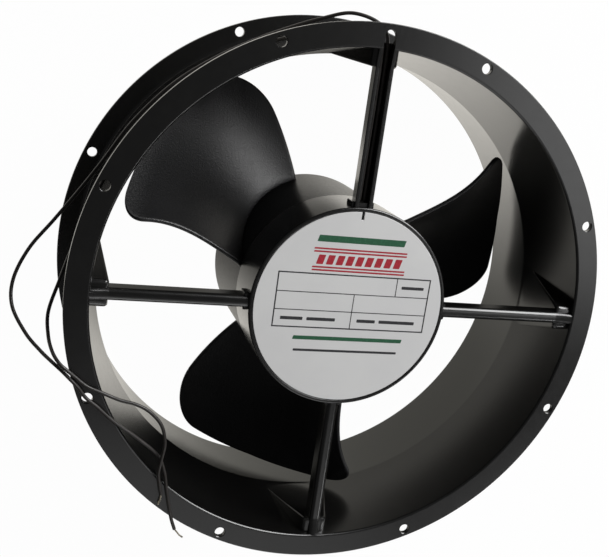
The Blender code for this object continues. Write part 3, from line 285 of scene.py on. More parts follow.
# The leads' routes, the same as in the part's own source
LEAD_1_ROUTE = (
    (0.0011, 0.064, 0.0836), (0.0013, 0.08, 0.0836), (0.00135, 0.096, 0.0836), (0.00125, 0.11, 0.0836),
    (0.001, 0.1185, 0.08345), (-0.0006, 0.1237, 0.0829), (-0.005, 0.127, 0.0817), (-0.0115, 0.1288, 0.08),
    (-0.018, 0.1286, 0.078), (-0.027, 0.1252, 0.0752), (-0.037, 0.1208, 0.0722), (-0.0522, 0.1133, 0.0698),
    (-0.0688, 0.1036, 0.0686), (-0.0866, 0.09, 0.068), (-0.1022, 0.0722, 0.0676), (-0.1135, 0.054, 0.0675),
    (-0.122, 0.0408, 0.0672), (-0.132, 0.0262, 0.0664), (-0.1416, 0.0126, 0.066), (-0.1473, -0.001, 0.0674),
    (-0.1472, -0.0118, 0.0722), (-0.141, -0.0216, 0.0792), (-0.1345, -0.0274, 0.0848),
    (-0.13, -0.0308, 0.0876), (-0.1255, -0.0343, 0.0894), (-0.1213, -0.0382, 0.0902),
    (-0.1176, -0.042, 0.0903), (-0.1142, -0.0464, 0.0903), (-0.1091, -0.0505, 0.0902),
    (-0.1018, -0.0571, 0.0899), (-0.0896, -0.0664, 0.0885), (-0.0802, -0.0745, 0.0879),
    (-0.0766, -0.082, 0.0891), (-0.075, -0.0896, 0.0902), (-0.0733, -0.097, 0.0903),
    (-0.0713, -0.105, 0.0902), (-0.069, -0.1113, 0.0893),
)
LEAD_2_ROUTE = (
    (-0.00095, 0.064, 0.0836), (-0.0008, 0.08, 0.0836), (-0.00075, 0.096, 0.0836), (-0.0009, 0.11, 0.0836),
    (-0.00115, 0.117, 0.0834), (-0.0026, 0.1208, 0.0826), (-0.0062, 0.1229, 0.0813),
    (-0.0112, 0.1234, 0.0795), (-0.0172, 0.1228, 0.0774), (-0.025, 0.121, 0.0748), (-0.036, 0.1168, 0.0718),
    (-0.0514, 0.1101, 0.0698), (-0.0784, 0.0933, 0.0693), (-0.0998, 0.0699, 0.0693),
    (-0.1142, 0.0426, 0.0695), (-0.1224, 0.019, 0.0696), (-0.128, 0.0002, 0.07), (-0.1319, -0.0136, 0.0726),
    (-0.1315, -0.0222, 0.0792), (-0.1296, -0.0273, 0.0857), (-0.1267, -0.0308, 0.0899),
    (-0.1236, -0.0333, 0.0909), (-0.119, -0.0372, 0.0906), (-0.114, -0.0411, 0.0903),
    (-0.1073, -0.044, 0.0901), (-0.0995, -0.0473, 0.0897), (-0.0923, -0.0493, 0.0894),
    (-0.0858, -0.0528, 0.0894), (-0.08, -0.0592, 0.0897), (-0.0778, -0.0676, 0.0901),
    (-0.0786, -0.0754, 0.0903), (-0.0793, -0.0825, 0.0903), (-0.0781, -0.089, 0.0903),
    (-0.0772, -0.093, 0.0903),
)
TIP_1_ROUTE = ((-0.0672, -0.114, 0.0878), (-0.0658, -0.116, 0.0868), (-0.0641, -0.1176, 0.086))
TIP_2_ROUTE = ((-0.0772, -0.095, 0.0901), (-0.0776, -0.0968, 0.09), (-0.0778, -0.0982, 0.0899))

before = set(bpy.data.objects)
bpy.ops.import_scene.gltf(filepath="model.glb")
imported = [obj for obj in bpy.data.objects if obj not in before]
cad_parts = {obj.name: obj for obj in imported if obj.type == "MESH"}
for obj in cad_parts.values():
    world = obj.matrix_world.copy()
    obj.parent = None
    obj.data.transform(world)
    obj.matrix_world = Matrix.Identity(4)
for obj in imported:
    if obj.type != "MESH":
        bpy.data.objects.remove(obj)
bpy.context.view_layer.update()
scene = bpy.context.scene


def add_object(name, data):
    thing = bpy.data.objects.new(name, data)
    scene.collection.objects.link(thing)
    return thing


def make_camera():
    """Camera at the photograph's viewing angle."""
    data = bpy.data.cameras.new("camera")
    data.lens = CAMERA_LENS
    data.sensor_width = CAMERA_SENSOR
    data.clip_start, data.clip_end = CAMERA_CLIP
    camera = add_object("camera", data)
    camera.location = CAMERA_PLACE
    camera.rotation_euler = CAMERA_TURN
    scene.camera = camera


# Nodes shared by the materials and the studio

def set_inputs(tree, node, inputs):
    """Set a node's inputs, each to a constant or to another node's output."""
    for key, value in inputs.items():
        if isinstance(value, bpy.types.NodeSocket):
            tree.links.new(value, node.inputs[key])
        else:
            node.inputs[key].default_value = value


def add_node(tree, kind, inputs):
    node = tree.nodes.new("ShaderNode" + kind)
    set_inputs(tree, node, inputs)
    return node


def eased(tree, value, low, high, out_low=0.0, out_high=1.0):
    """A value carried from one span to another, eased at both ends."""
    node = add_node(tree, "MapRange", {
        "Value": value, "From Min": low, "From Max": high, "To Min": out_low, "To Max": out_high,
    })
    node.interpolation_type = "SMOOTHSTEP"
    return node.outputs["Result"]


def mix_colours(tree, share, first, second):
    """Two colours mixed by a share. Each is an RGB value or a node's output."""
    node = add_node(tree, "Mix", {"Factor": share})
    node.data_type = "RGBA"
    places = [key for key, target in enumerate(node.inputs) if target.type == "RGBA"]
    colours = [(*colour, 1.0) if isinstance(colour, tuple) else colour for colour in (first, second)]
    set_inputs(tree, node, dict(zip(places, colours)))
    return next(result for result in node.outputs if result.type == "RGBA")


def maths(tree, operation, first, second):
    """A sum on a node's output and another one or a number."""
    node = add_node(tree, "Math", {0: first, 1: second})
    node.operation = operation
    return node.outputs[0]


def vector_value(tree, operation, places, other):
    """A number worked out from coordinates and a fixed vector."""
    node = add_node(tree, "VectorMath", {0: places, 1: other})
    node.operation = operation
    return node.outputs["Value"]


def mix_shaders(tree, share, first, second, output):
    """Two shaders mixed into the tree's output."""
    mix = add_node(tree, "MixShader", {"Fac": share, 1: first.outputs[0], 2: second.outputs[0]})
    set_inputs(tree, tree.nodes[output], {"Surface": mix.outputs[0]})


# Materials

class Finish:
    """A Principled material with procedural colour, roughness and bump."""

    def __init__(self, name, colour, roughness, metallic=0.0):
        self.material = bpy.data.materials.new(name)
        self.material.use_nodes = True
        self.tree = self.material.node_tree
        self.set({"Base Color": (*colour, 1.0), "Roughness": roughness, "Metallic": metallic})
        self.colour = colour
        self.places = add_node(self.tree, "TexCoord", {}).outputs["Object"]
        self.relief = {}

    def set(self, inputs):
        set_inputs(self.tree, self.tree.nodes["Principled BSDF"], inputs)

    def stretched(self, scale):
        """Coordinates stretched by a factor along each axis."""
        return add_node(self.tree, "Mapping", {"Vector": self.places, "Scale": scale}).outputs["Vector"]

    def noise(self, scale, detail=3, coordinates=None):
        return add_node(self.tree, "TexNoise", {
            "Vector": coordinates or self.places, "Scale": scale, "Detail": detail,
            "Roughness": NOISE_ROUGHNESS,
        }).outputs["Fac"]

    def bands(self, axis, period):
        """Even bands across an axis, a given length apart."""
        node = add_node(self.tree, "TexWave", {
            "Vector": self.places, "Scale": math.tau / WAVE_RATE / period, "Distortion": BAND_DISTORTION,
            "Detail": 1.0,
        })
        node.bands_direction = axis
        return node.outputs["Fac"]

    def mottle(self, value, other, low=0.35, high=0.65):
        """Base colour that drifts from what it is so far to another."""
        self.colour = mix_colours(self.tree, eased(self.tree, value, low, high), self.colour, other)
        self.set({"Base Color": self.colour})

    def gloss(self, value, low, high):
        """Roughness that drifts between two values."""
        self.set({"Roughness": eased(self.tree, value, 0.3, 0.7, low, high)})

    def bump(self, value, strength, distance):
        """Relief from a value, on top of what there is so far."""
        inputs = {"Height": value, "Strength": strength, "Distance": distance, **self.relief}
        self.relief = {"Normal": add_node(self.tree, "Bump", inputs).outputs["Normal"]}
        self.set(self.relief)


def speckled(name, colour, other, roughness, drift, shine, relief, metallic=0.0):
    """Finish with a noise each for its drift, gloss and relief."""
    finish = Finish(name, colour, roughness, metallic)
    finish.mottle(finish.noise(*drift[:2]), other, *drift[2:])
    finish.gloss(finish.noise(*shine[:2]), *shine[2:])
    finish.bump(finish.noise(*relief[:2]), *relief[2:])
    return finish.material


def stoving_enamel():
    """Semi-gloss black paint on the castings, with its fine orange peel."""
    finish = Finish("casting_enamel", PAINT_COLOUR, PAINT_ROUGHNESS)
    finish.set({"Coat Weight": 1.0, "Coat Roughness": PAINT_ROUGHNESS, "Coat IOR": 1.5})
    finish.mottle(finish.noise(60, 4), PAINT_DRIFT)
    finish.gloss(finish.noise(220, 4), PAINT_ROUGHNESS - 0.015, PAINT_ROUGHNESS + 0.02)
    finish.bump(finish.noise(700), 0.22, 0.00004)
    finish.bump(finish.noise(3200, 2), 0.25, 0.00002)
    return finish.material


def ink(name, colour):
    """Printing ink with a lighter fleck."""
    finish = Finish(name, colour, 0.5)
    finish.mottle(finish.noise(900, 4), tuple(part * 1.35 + 0.01 for part in colour), 0.45, 0.75)
    finish.bump(finish.noise(2400, 2), 0.1, 0.00001)
    return finish.material


def metal(name, colour, roughness, grain=(1, 1, 1), scale=900, depth=0.00002):
    """Bare metal with drifting polish and a fine grain, stretched along an axis where it was worked."""
    finish = Finish(name, colour, roughness, 1.0)
    finish.mottle(finish.noise(90, 4), tuple(part * 0.86 for part in colour))
    worked = finish.noise(scale, coordinates=finish.stretched(grain))
    finish.gloss(worked, roughness - 0.07, roughness + 0.09)
    finish.bump(worked, 0.3, depth)
    return finish.material


def moulded(name, colour, other, roughness):
    """Moulded plastic with a fine matt grain."""
    gloss = (420, 3, roughness - 0.05, roughness + 0.06)
    return speckled(name, colour, other, roughness, (110, 4), gloss, (2200, 3, 0.25, 0.00003))


def laminated(name, colour):
    """Stack of thin steel sheets: fine rings across the axis, with a trace of rust and oil."""
    finish = Finish(name, colour, 0.42, 1.0)
    finish.mottle(finish.bands("Z", SHEET_PERIOD), tuple(part * 0.55 for part in colour), 0.55, 0.8)
    finish.mottle(finish.noise(130, 5), (0.17, 0.12, 0.09), 0.58, 0.8)
    finish.gloss(finish.noise(380), 0.34, 0.52)
    finish.bump(finish.bands("Z", SHEET_PERIOD), 0.5, 0.00005)
    return finish.material


def woven_board(name):
    """Tan circuit laminate with its glass weave just visible."""
    finish = Finish(name, (0.4, 0.3, 0.12), 0.45)
    finish.mottle(finish.bands("X", WEAVE_PERIOD), (0.34, 0.25, 0.095), 0.4, 0.7)
    finish.mottle(finish.bands("Y", WEAVE_PERIOD), (0.45, 0.35, 0.16), 0.5, 0.8)
    finish.gloss(finish.noise(260), 0.38, 0.52)
    for axis in "XY":
        finish.bump(finish.bands(axis, WEAVE_PERIOD), 0.15, 0.00002)
    return finish.material


# Mesh helpers

def place_piece(piece, body, node):
    """Ride a piece on its body, in place of a CAD node."""
    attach(piece, body)
    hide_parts(node)


def finish_mesh(name, bm, material=None):
    """Object from a bmesh, welded, smooth and with its real edges sharp."""
    bmesh.ops.remove_doubles(bm, verts=bm.verts, dist=SAME_PLACE)
    bmesh.ops.recalc_face_normals(bm, faces=bm.faces)
    mesh = bpy.data.meshes.new(name)
    bm.to_mesh(mesh)
    bm.free()
    mesh.shade_smooth()
    mesh.set_sharp_from_angle(angle=math.radians(SHARP_ANGLE))
    thing = add_object(name, mesh)
    if material is not None:
        mesh.materials.append(material)
    return thing


def lathe(name, profile, steps, material, closed=True):
    """A (radius, height) profile turned round Z."""
    bm = bmesh.new()
    verts = [bm.verts.new((radius, 0, height)) for radius, height in profile]
    edges = [bm.edges.new(pair) for pair in zip(verts, verts[1:])]
    if closed:
        edges.append(bm.edges.new((verts[-1], verts[0])))
    bmesh.ops.spin(
        bm, geom=verts + edges, cent=(0, 0, 0), axis=(0, 0, 1),
        angle=math.tau, steps=steps, use_merge=True,
    )
    return finish_mesh(name, bm, material)


def add_skin(bm, rings):
    """Closed skin over a row of rings, with a face at either end."""
    rows = [[bm.verts.new(point) for point in ring] for ring in rings]
    count = len(rows[0])
    for row, following in zip(rows, rows[1:]):
        for index in range(count):
            after = (index + 1) % count
            bm.faces.new((row[index], row[after], following[after], following[index]))
    bm.faces.new(rows[0])
    bm.faces.new(rows[-1])


def loft(name, rings, material=None):
    bm = bmesh.new()
    add_skin(bm, rings)
    return finish_mesh(name, bm, material)


def level(outline, height):
    """A flat (x, y) outline at a height."""
    return [(x, y, height) for x, y in outline]


def prism(name, outline, bottom, top):
    return loft(name, [level(outline, height) for height in (bottom, top)])


def slot_tool(half, inner, outer, bottom, top):
    """Block along +Y that cuts a straight slot."""
    return prism("slot_tool", ((-half, inner), (half, inner), (half, outer), (-half, outer)), bottom, top)


def arc(centre, radius, start, end, steps):
    """Points on an arc between two angles in degrees."""
    points = []
    for index in range(steps + 1):
        angle = math.radians(start + (end - start) * index / steps)
        points.append((centre[0] + radius * math.cos(angle), centre[1] + radius * math.sin(angle)))
    return points


def rounded(corners, steps):
    """Closed outline of quarter arcs, each (centre, radius, first angle)."""
    outline = []
    for centre, radius, start in corners:
        outline += arc(centre, radius, start, start + QUARTER_TURN, steps)
    return outline


def rounded_box(low, high, corner):
    """Closed outline of a rectangle with round corners, by two of the corners' centres."""
    centres = (high, (low[0], high[1]), low, (high[0], low[1]))
    corners = [(centre, corner, QUARTER_TURN * index) for index, centre in enumerate(centres)]
    return rounded(corners, EDGE_STEPS)


def polar(radius, degrees, height):
    angle = math.radians(degrees)
    return Vector((radius * math.cos(angle), radius * math.sin(angle), height))


def turn(thing, degrees):
    """Turn an object round the fan's axis."""
    thing.matrix_world = Matrix.Rotation(math.radians(degrees), 4, "Z") @ thing.matrix_world
    return thing


def combine(target, tool, operation):
    """Apply a Boolean at once, and take its tool away."""
    modifier = target.modifiers.new("combine", "BOOLEAN")
    modifier.operation = operation
    modifier.object = tool
    modifier.solver = "EXACT"
    bpy.context.view_layer.update()
    evaluated = target.evaluated_get(bpy.context.evaluated_depsgraph_get())
    mesh = bpy.data.meshes.new_from_object(evaluated)
    used = (target.data, tool.data)
    target.modifiers.clear()
    target.data = mesh
    mesh.name = target.name
    bpy.data.objects.remove(tool)
    for old in used:
        bpy.data.meshes.remove(old)


def polish(thing):
    """Smooth shading that keeps flat faces flat and real edges sharp."""
    bm = bmesh.new()
    bm.from_mesh(thing.data)
    bmesh.ops.remove_doubles(bm, verts=bm.verts, dist=POLISH_MERGE)
    bmesh.ops.dissolve_degenerate(bm, dist=POLISH_SLIVER, edges=bm.edges)
    bm.to_mesh(thing.data)
    bm.free()
    thing.data.shade_smooth()
    thing.data.set_sharp_from_angle(angle=math.radians(SHARP_ANGLE))
    modifier = thing.modifiers.new("face_weighted_normals", "WEIGHTED_NORMAL")
    modifier.keep_sharp = True
    modifier.weight = POLISH_WEIGHT
    return thing


# Leads

def smooth_route(points, count):
    """Points on a smooth curve through a route's own points, set closer in its bends."""
    route = [Vector(point) for point in points]
    padded = [2 * route[0] - route[1]] + route + [2 * route[-1] - route[-2]]
    fine = []
    for before, start, end, after in zip(padded, padded[1:], padded[2:], padded[3:]):
        for step in range(ROUTE_STEPS):
            share = step / ROUTE_STEPS
            fine.append(0.5 * (
                2 * start + (end - before) * share
                + (2 * before - 5 * start + 4 * end - after) * share ** 2
                + (3 * start - before - 3 * end + after) * share ** 3
            ))
    fine.append(route[-1])
    travelled = [0]
    heading = fine[1] - fine[0]
    for point, following in zip(fine, fine[1:]):
        step = following - point
        travelled.append(travelled[-1] + step.length + LEAD_BEND_REACH * heading.angle(step))
        heading = step
    spaced = []
    place = 0
    for index in range(count):
        goal = travelled[-1] * index / (count - 1)
        while place < len(fine) - 2 and travelled[place + 1] < goal:
            place += 1
        stretch = travelled[place + 1] - travelled[place]
        spaced.append(fine[place].lerp(fine[place + 1], min(1, (goal - travelled[place]) / stretch)))
    return spaced


def make_wire(name, points, diameter, material, roundness):
    """A round wire along a line of points, as a curve."""
    curve = bpy.data.curves.new(name, "CURVE")
    curve.dimensions = "3D"
    curve.bevel_depth = diameter / 2
    curve.bevel_resolution = roundness
    curve.use_fill_caps = True
    spline = curve.splines.new("POLY")
    spline.points.add(len(points) - 1)
    for target, point in zip(spline.points, points):
        target.co = (*point, 1)
    spline.use_smooth = True
    curve.materials.append(material)
    return add_object(name, curve)


def strand_rings(points, offset, phase):
    """Rings of one strand that winds round a line of points at an offset."""
    rings = []
    travelled = 0.0
    across = Vector((0, 0, 1))
    for index, point in enumerate(points):
        before = points[max(0, index - 1)]
        after = points[min(len(points) - 1, index + 1)]
        along = (after - before).normalized()
        across = (across - along * across.dot(along)).normalized()
        beside = along.cross(across)
        travelled += (point - before).length
        wound = phase + math.tau * travelled / STRAND_PITCH
        centre = point + offset * (math.cos(wound) * across + math.sin(wound) * beside)
        ring = []
        for side in range(STRAND_SIDES):
            angle = math.tau * side / STRAND_SIDES
            ring.append(centre + STRAND_DIAMETER / 2 * (math.cos(angle) * across + math.sin(angle) * beside))
        rings.append(ring)
    return rings


def make_bare_tip(name, points, material):
    """Stripped end: tinned strands twisted round a straight one."""
    fine = smooth_route(points, TIP_POINTS)
    spread = TIP_DIAMETER / 2 - STRAND_DIAMETER / 2
    bm = bmesh.new()
    add_skin(bm, strand_rings(fine, 0.0, 0.0))
    for index in range(OUTER_STRANDS):
        add_skin(bm, strand_rings(fine, spread, math.tau * index / OUTER_STRANDS))
    return finish_mesh(name, bm, material)


def make_leads():
    cover = speckled("lead_insulation", *LEAD_FINISH)
    tinned = metal("tinned_strands", (0.74, 0.68, 0.56), 0.28)
    plans = ((1, 1, LEAD_1_ROUTE, TIP_1_ROUTE), (2, -1, LEAD_2_ROUTE, TIP_2_ROUTE))
    for number, side, route, tip_route in plans:
        start = (side * LEAD_SPREAD, LEAD_START, LEAD_HEIGHT)
        points = smooth_route((start,) + route, LEAD_POINTS)
        lead = make_wire("lead_cover_%d" % number, points, LEAD_DIAMETER, cover, LEAD_ROUNDNESS)
        tip_start = points[-1] + (points[-1] - points[-2]).normalized() * FIT_GAP * TIP_GAP_SHARE
        tip = make_bare_tip("lead_strands_%d" % number, (tip_start,) + tip_route, tinned)
        place_piece(lead, "frame", "lead_wire_%d" % number)
        place_piece(tip, "frame", "bare_tip_%d" % number)


# Struts, as (across, height) sections

def strut_section():
    """Bar with small rear edges and a rounder nose."""
    half = STRUT_WIDTH / 2
    edge, nose = STRUT_EDGE_ROUND, STRUT_NOSE_ROUND
    return rounded((
        ((-half + edge, STRUT_BOTTOM + edge), edge, 180), ((half - edge, STRUT_BOTTOM + edge), edge, 270),
        ((half - nose, STRUT_TOP - nose), nose, 0), ((-half + nose, STRUT_TOP - nose), nose, 90),
    ), FILLET_STEPS)


def lead_strut_section():
    """Drafted bar with an open channel in its front."""
    top = LEAD_STRUT_WIDTH / 2
    bottom = STRUT_WIDTH / 2
    channel = CHANNEL_WIDTH / 2
    soft = LEAD_STRUT_ROUND
    section = [(-bottom, STRUT_BOTTOM), (bottom, STRUT_BOTTOM)]
    section += arc((top - soft, STRUT_TOP - soft), soft, 0, 90, RIM_STEPS)
    section += arc((channel + soft, STRUT_TOP - soft), soft, 90, 180, RIM_STEPS)
    section += [(channel, CHANNEL_FLOOR), (-channel, CHANNEL_FLOOR)]
    section += arc((-channel - soft, STRUT_TOP - soft), soft, 0, 90, RIM_STEPS)
    section += arc((-top + soft, STRUT_TOP - soft), soft, 90, 180, RIM_STEPS)
    return section


def struts():
    """Turn and section of each strut. The one along +Y carries the leads."""
    for index in range(4):
        yield index * QUARTER_TURN, lead_strut_section() if index == LEAD_STRUT_INDEX else strut_section()


# Housing

def wall_radius(height):
    """Inner radius of the tube, which narrows from either opening to the throat."""
    if height > THROAT_HEIGHT:
        share = (height - THROAT_HEIGHT) / (FAN_DEPTH - THROAT_HEIGHT)
        return THROAT_RADIUS + (FRONT_OPENING_RADIUS - THROAT_RADIUS) * share
    share = (THROAT_HEIGHT - height) / THROAT_HEIGHT
    return THROAT_RADIUS + (REAR_OPENING_RADIUS - THROAT_RADIUS) * share


def make_housing(material):
    flange_top = FAN_DEPTH - FLANGE_THICKNESS
    front_lip = (FRONT_OPENING_RADIUS + FRONT_LIP_ROUND, FAN_DEPTH - FRONT_LIP_ROUND)
    rear_lip = (REAR_OPENING_RADIUS + REAR_LIP_ROUND, REAR_LIP_ROUND)
    rear_fillet = (REAR_OPENING_RADIUS + TUBE_WALL + FLANGE_FILLET, FLANGE_THICKNESS + FLANGE_FILLET)
    front_fillet = (FRONT_OPENING_RADIUS + TUBE_WALL + FLANGE_FILLET, flange_top - FLANGE_FILLET)
    edge = FLANGE_EDGE_ROUND
    profile = arc(front_lip, FRONT_LIP_ROUND, 90, 180, LIP_STEPS)
    profile += [(wall_radius(height), height) for height in TUBE_RINGS]
    profile += arc(rear_lip, REAR_LIP_ROUND, 180, 270, LIP_STEPS)
    profile += arc((FLANGE_RADIUS - edge, edge), edge, 270, 360, EDGE_STEPS)
    profile += arc((FLANGE_RADIUS - edge, FLANGE_THICKNESS - edge), edge, 0, 90, EDGE_STEPS)
    profile += arc(rear_fillet, FLANGE_FILLET, 270, 180, FILLET_STEPS)
    profile.append((THROAT_RADIUS + TUBE_WALL, THROAT_HEIGHT))
    profile += arc(front_fillet, FLANGE_FILLET, 180, 90, FILLET_STEPS)
    profile += arc((FLANGE_RADIUS - edge, flange_top + edge), edge, 270, 360, EDGE_STEPS)
    profile += arc((FLANGE_RADIUS - edge, FAN_DEPTH - edge), edge, 0, 90, EDGE_STEPS)
    housing = lathe("fan_housing", profile, HOUSING_STEPS, material)
    for degrees, section in struts():
        combine(housing, turn(strut_pad(), degrees), "UNION")
        combine(housing, turn(strut_end(section), degrees), "UNION")
    combine(housing, bolt_hole_tool(), "DIFFERENCE")
    combine(housing, lead_slot_tool(), "DIFFERENCE")
    half = LEAD_SLOT_WIDTH / 2
    reaches = (PAD_FRONT - OVERRUN, LEAD_SLOT_REACH - half)
    combine(housing, slot_tool(half, *reaches, CHANNEL_FLOOR - FIT_GAP, FAN_DEPTH + OVERRUN), "DIFFERENCE")
    return polish(housing)


def strut_pad():
    """Pad along +X with softened edges, which widens and thins down to the throat."""
    soft = PAD_ROUND
    levels = (
        (THROAT_HEIGHT, 0.0), (PAD_MIDDLE, 0.0), (FOOT_TOP - soft, 0.0),
        (FOOT_TOP - soft * PAD_EASE_SHARE, PAD_EASE_SHARE), (FOOT_TOP, 1.0),
    )
    rings = []
    for height, ease in levels:
        share = (FOOT_TOP - height) / (FOOT_TOP - THROAT_HEIGHT)
        face = PAD_FRONT + (PAD_THROAT - PAD_FRONT) * share + soft * ease
        half = (PAD_FRONT_WIDTH + (PAD_THROAT_WIDTH - PAD_FRONT_WIDTH) * share) / 2 - soft * ease
        corner = max(0.0, soft * (1 - share * PAD_CORNER_FADE))
        buried = wall_radius(height) + TUBE_WALL / 2
        edge = [(face + corner - x, y + half - corner) for x, y in arc((0, 0), corner, 0, 90, EDGE_STEPS)]
        outline = [(x, -y) for x, y in reversed(edge)] + edge + [(buried, half), (buried, -half)]
        rings.append(level(outline, height))
    return loft("strut_pad", rings)


def strut_end(section):
    """The strut's last stretch, over its pad and up to the flange's face."""
    rings = []
    for share in STRUT_END_SHARES:
        ring = []
        for across, height in section:
            raised = height
            if height > CHANNEL_FLOOR:
                raised += (STRUT_END_TOP - STRUT_TOP) * (3 * share ** 2 - 2 * share ** 3)
            buried = wall_radius(height) + TUBE_WALL / 2
            ring.append((PAD_FRONT + (buried - PAD_FRONT) * share, across, raised))
        rings.append(ring)
    return loft("strut_end", rings)


def bolt_hole_tool():
    """Chamfered pins through both flanges."""
    mouth = BOLT_HOLE_RADIUS + BOLT_HOLE_CHAMFER + BOLT_OVERRUN
    levels = (
        (-BOLT_OVERRUN, mouth), (BOLT_HOLE_CHAMFER, BOLT_HOLE_RADIUS),
        (FAN_DEPTH - BOLT_HOLE_CHAMFER, BOLT_HOLE_RADIUS), (FAN_DEPTH + BOLT_OVERRUN, mouth),
    )
    bm = bmesh.new()
    for index in range(BOLT_COUNT):
        centre = polar(BOLT_CIRCLE_RADIUS, BOLT_FIRST_ANGLE + 360 / BOLT_COUNT * index, 0)
        rings = [level(arc(centre, radius, 0, 360, HOLE_STEPS)[:-1], height) for height, radius in levels]
        add_skin(bm, rings)
    return finish_mesh("bolt_hole_tool", bm)


def lead_slot_tool():
    half = LEAD_SLOT_WIDTH / 2
    inner = FRONT_OPENING_RADIUS - OVERRUN
    outline = [(-half, inner), (half, inner)]
    outline += arc((0, LEAD_SLOT_REACH - half), half, 0, 180, SLOT_STEPS)
    bottom = FAN_DEPTH - FLANGE_THICKNESS - FLANGE_FILLET - OVERRUN
    return prism("lead_slot_tool", outline, bottom, FAN_DEPTH + OVERRUN)


# Motor spider

def make_spider(material):
    edge = (BASE_RADIUS - BASE_EDGE_ROUND, FAN_DEPTH - BASE_EDGE_ROUND)
    rim = BASE_RIM_ROUND
    profile = [(BOSS_BORE, RECESS_FLOOR), (RECESS_RADIUS, RECESS_FLOOR)]
    profile += arc((RECESS_RADIUS + rim, FAN_DEPTH - rim), rim, 180, 90, RIM_STEPS)
    profile += arc(edge, BASE_EDGE_ROUND, 90, 0, FILLET_STEPS)
    profile += arc((BASE_RADIUS - rim, BASE_BOTTOM + rim), rim, 0, -90, RIM_STEPS)
    profile += [(BASE_INNER_RADIUS, BASE_BOTTOM), (BASE_INNER_RADIUS, BASE_CEILING)]
    profile += [(BOSS_RADIUS, BASE_CEILING), (BOSS_RADIUS, BOSS_BOTTOM), (BOSS_BORE, BOSS_BOTTOM)]
    spider = lathe("motor_base", profile, HUB_STEPS, material)
    for degrees, section in struts():
        combine(spider, turn(strut_bar(section), degrees), "UNION")
        combine(spider, turn(hub_foot(section), degrees), "UNION")
    channel = slot_tool(CHANNEL_WIDTH / 2, HUB_FOOT_END, PAD_FRONT, CHANNEL_FLOOR, STRUT_TOP + OVERRUN)
    combine(spider, channel, "DIFFERENCE")
    reaches = (BASE_INNER_RADIUS - OVERRUN, HUB_FOOT_END + FIT_GAP)
    half = GROMMET_HEIGHT / 2 + FIT_GAP
    hole = slot_tool(GROMMET_WIDTH / 2 + FIT_GAP, *reaches, LEAD_HEIGHT - half, LEAD_HEIGHT + half)
    combine(spider, hole, "DIFFERENCE")
    return polish(spider)


def strut_bar(section):
    """A strut's section drawn out along +X, up to the strut's end on its pad."""
    reaches = (BASE_RADIUS - STRUT_ROOT_SINK, PAD_FRONT)
    return loft("strut_bar", [[(reach, across, height) for across, height in section] for reach in reaches])


def hub_foot(section):
    """The small block that carries a strut on the base."""
    half = max(across for across, height in section) + HUB_FOOT_MARGIN
    soft = HUB_FOOT_ROUND
    outline = [(BASE_RADIUS - FOOT_ROOT_SINK, -half), (HUB_FOOT_END - soft, -half)]
    outline += arc((HUB_FOOT_END - soft, -half + soft), soft, 270, 360, EDGE_STEPS)[1:]
    outline += arc((HUB_FOOT_END - soft, half - soft), soft, 0, 90, EDGE_STEPS)
    outline.append((BASE_RADIUS - FOOT_ROOT_SINK, half))
    inset = soft * HUB_FOOT_INSET_SHARE
    top = [(x - (inset if x > BASE_RADIUS else 0), y * (1 - inset / half)) for x, y in outline]
    rings = [level(outline, FOOT_BOTTOM), level(outline, FOOT_TOP - soft), level(top, FOOT_TOP)]
    return loft("hub_foot", rings)


# Nameplate

def make_nameplate():
    """Thin disc with a rounded edge and a notch at the leads' strut."""
    half = PLATE_NOTCH_WIDTH / 2
    edge = PLATE_EDGE_ROUND
    eased_edge = edge * PLATE_EASE_SHARE
    levels = (
        (0.0, PLATE_BOTTOM), (0.0, FAN_DEPTH - edge), (eased_edge, FAN_DEPTH - eased_edge), (edge, FAN_DEPTH),
    )
    rings = []
    for inset, height in levels:
        radius = PLATE_RADIUS - inset
        side = math.degrees(math.asin((half + inset) / radius))
        outline = arc((0, 0), radius, 90 + side, 450 - side, PLATE_STEPS)
        floor = PLATE_RADIUS - PLATE_NOTCH_LENGTH - inset
        outline += [(half + inset, floor), (-half - inset, floor)]
        rings.append(level(outline, height))
    return polish(loft("name_disc", rings, speckled("plate_lacquer", *PLATE_FINISH)))


def ink_bars(name, material, bars, slant):
    """Thin raised bars of ink on the plate. The slant is a bar's lean to the right for its height."""
    bm = bmesh.new()
    for left, right, bottom, top in bars:
        corner = min(INK_CORNER, INK_CORNER_PER_MM * (top - bottom), INK_CORNER_PER_MM * (right - left))
        low = (left * MILLIMETRE + corner, bottom * MILLIMETRE + corner)
        high = (right * MILLIMETRE - corner, top * MILLIMETRE - corner)
        outline = [(x + slant * (y - low[1]), y) for x, y in rounded_box(low, high, corner)]
        add_skin(bm, [level(outline, height) for height in (FAN_DEPTH - INK_SINK, FAN_DEPTH + INK_RISE)])
    return finish_mesh(name, bm, material)


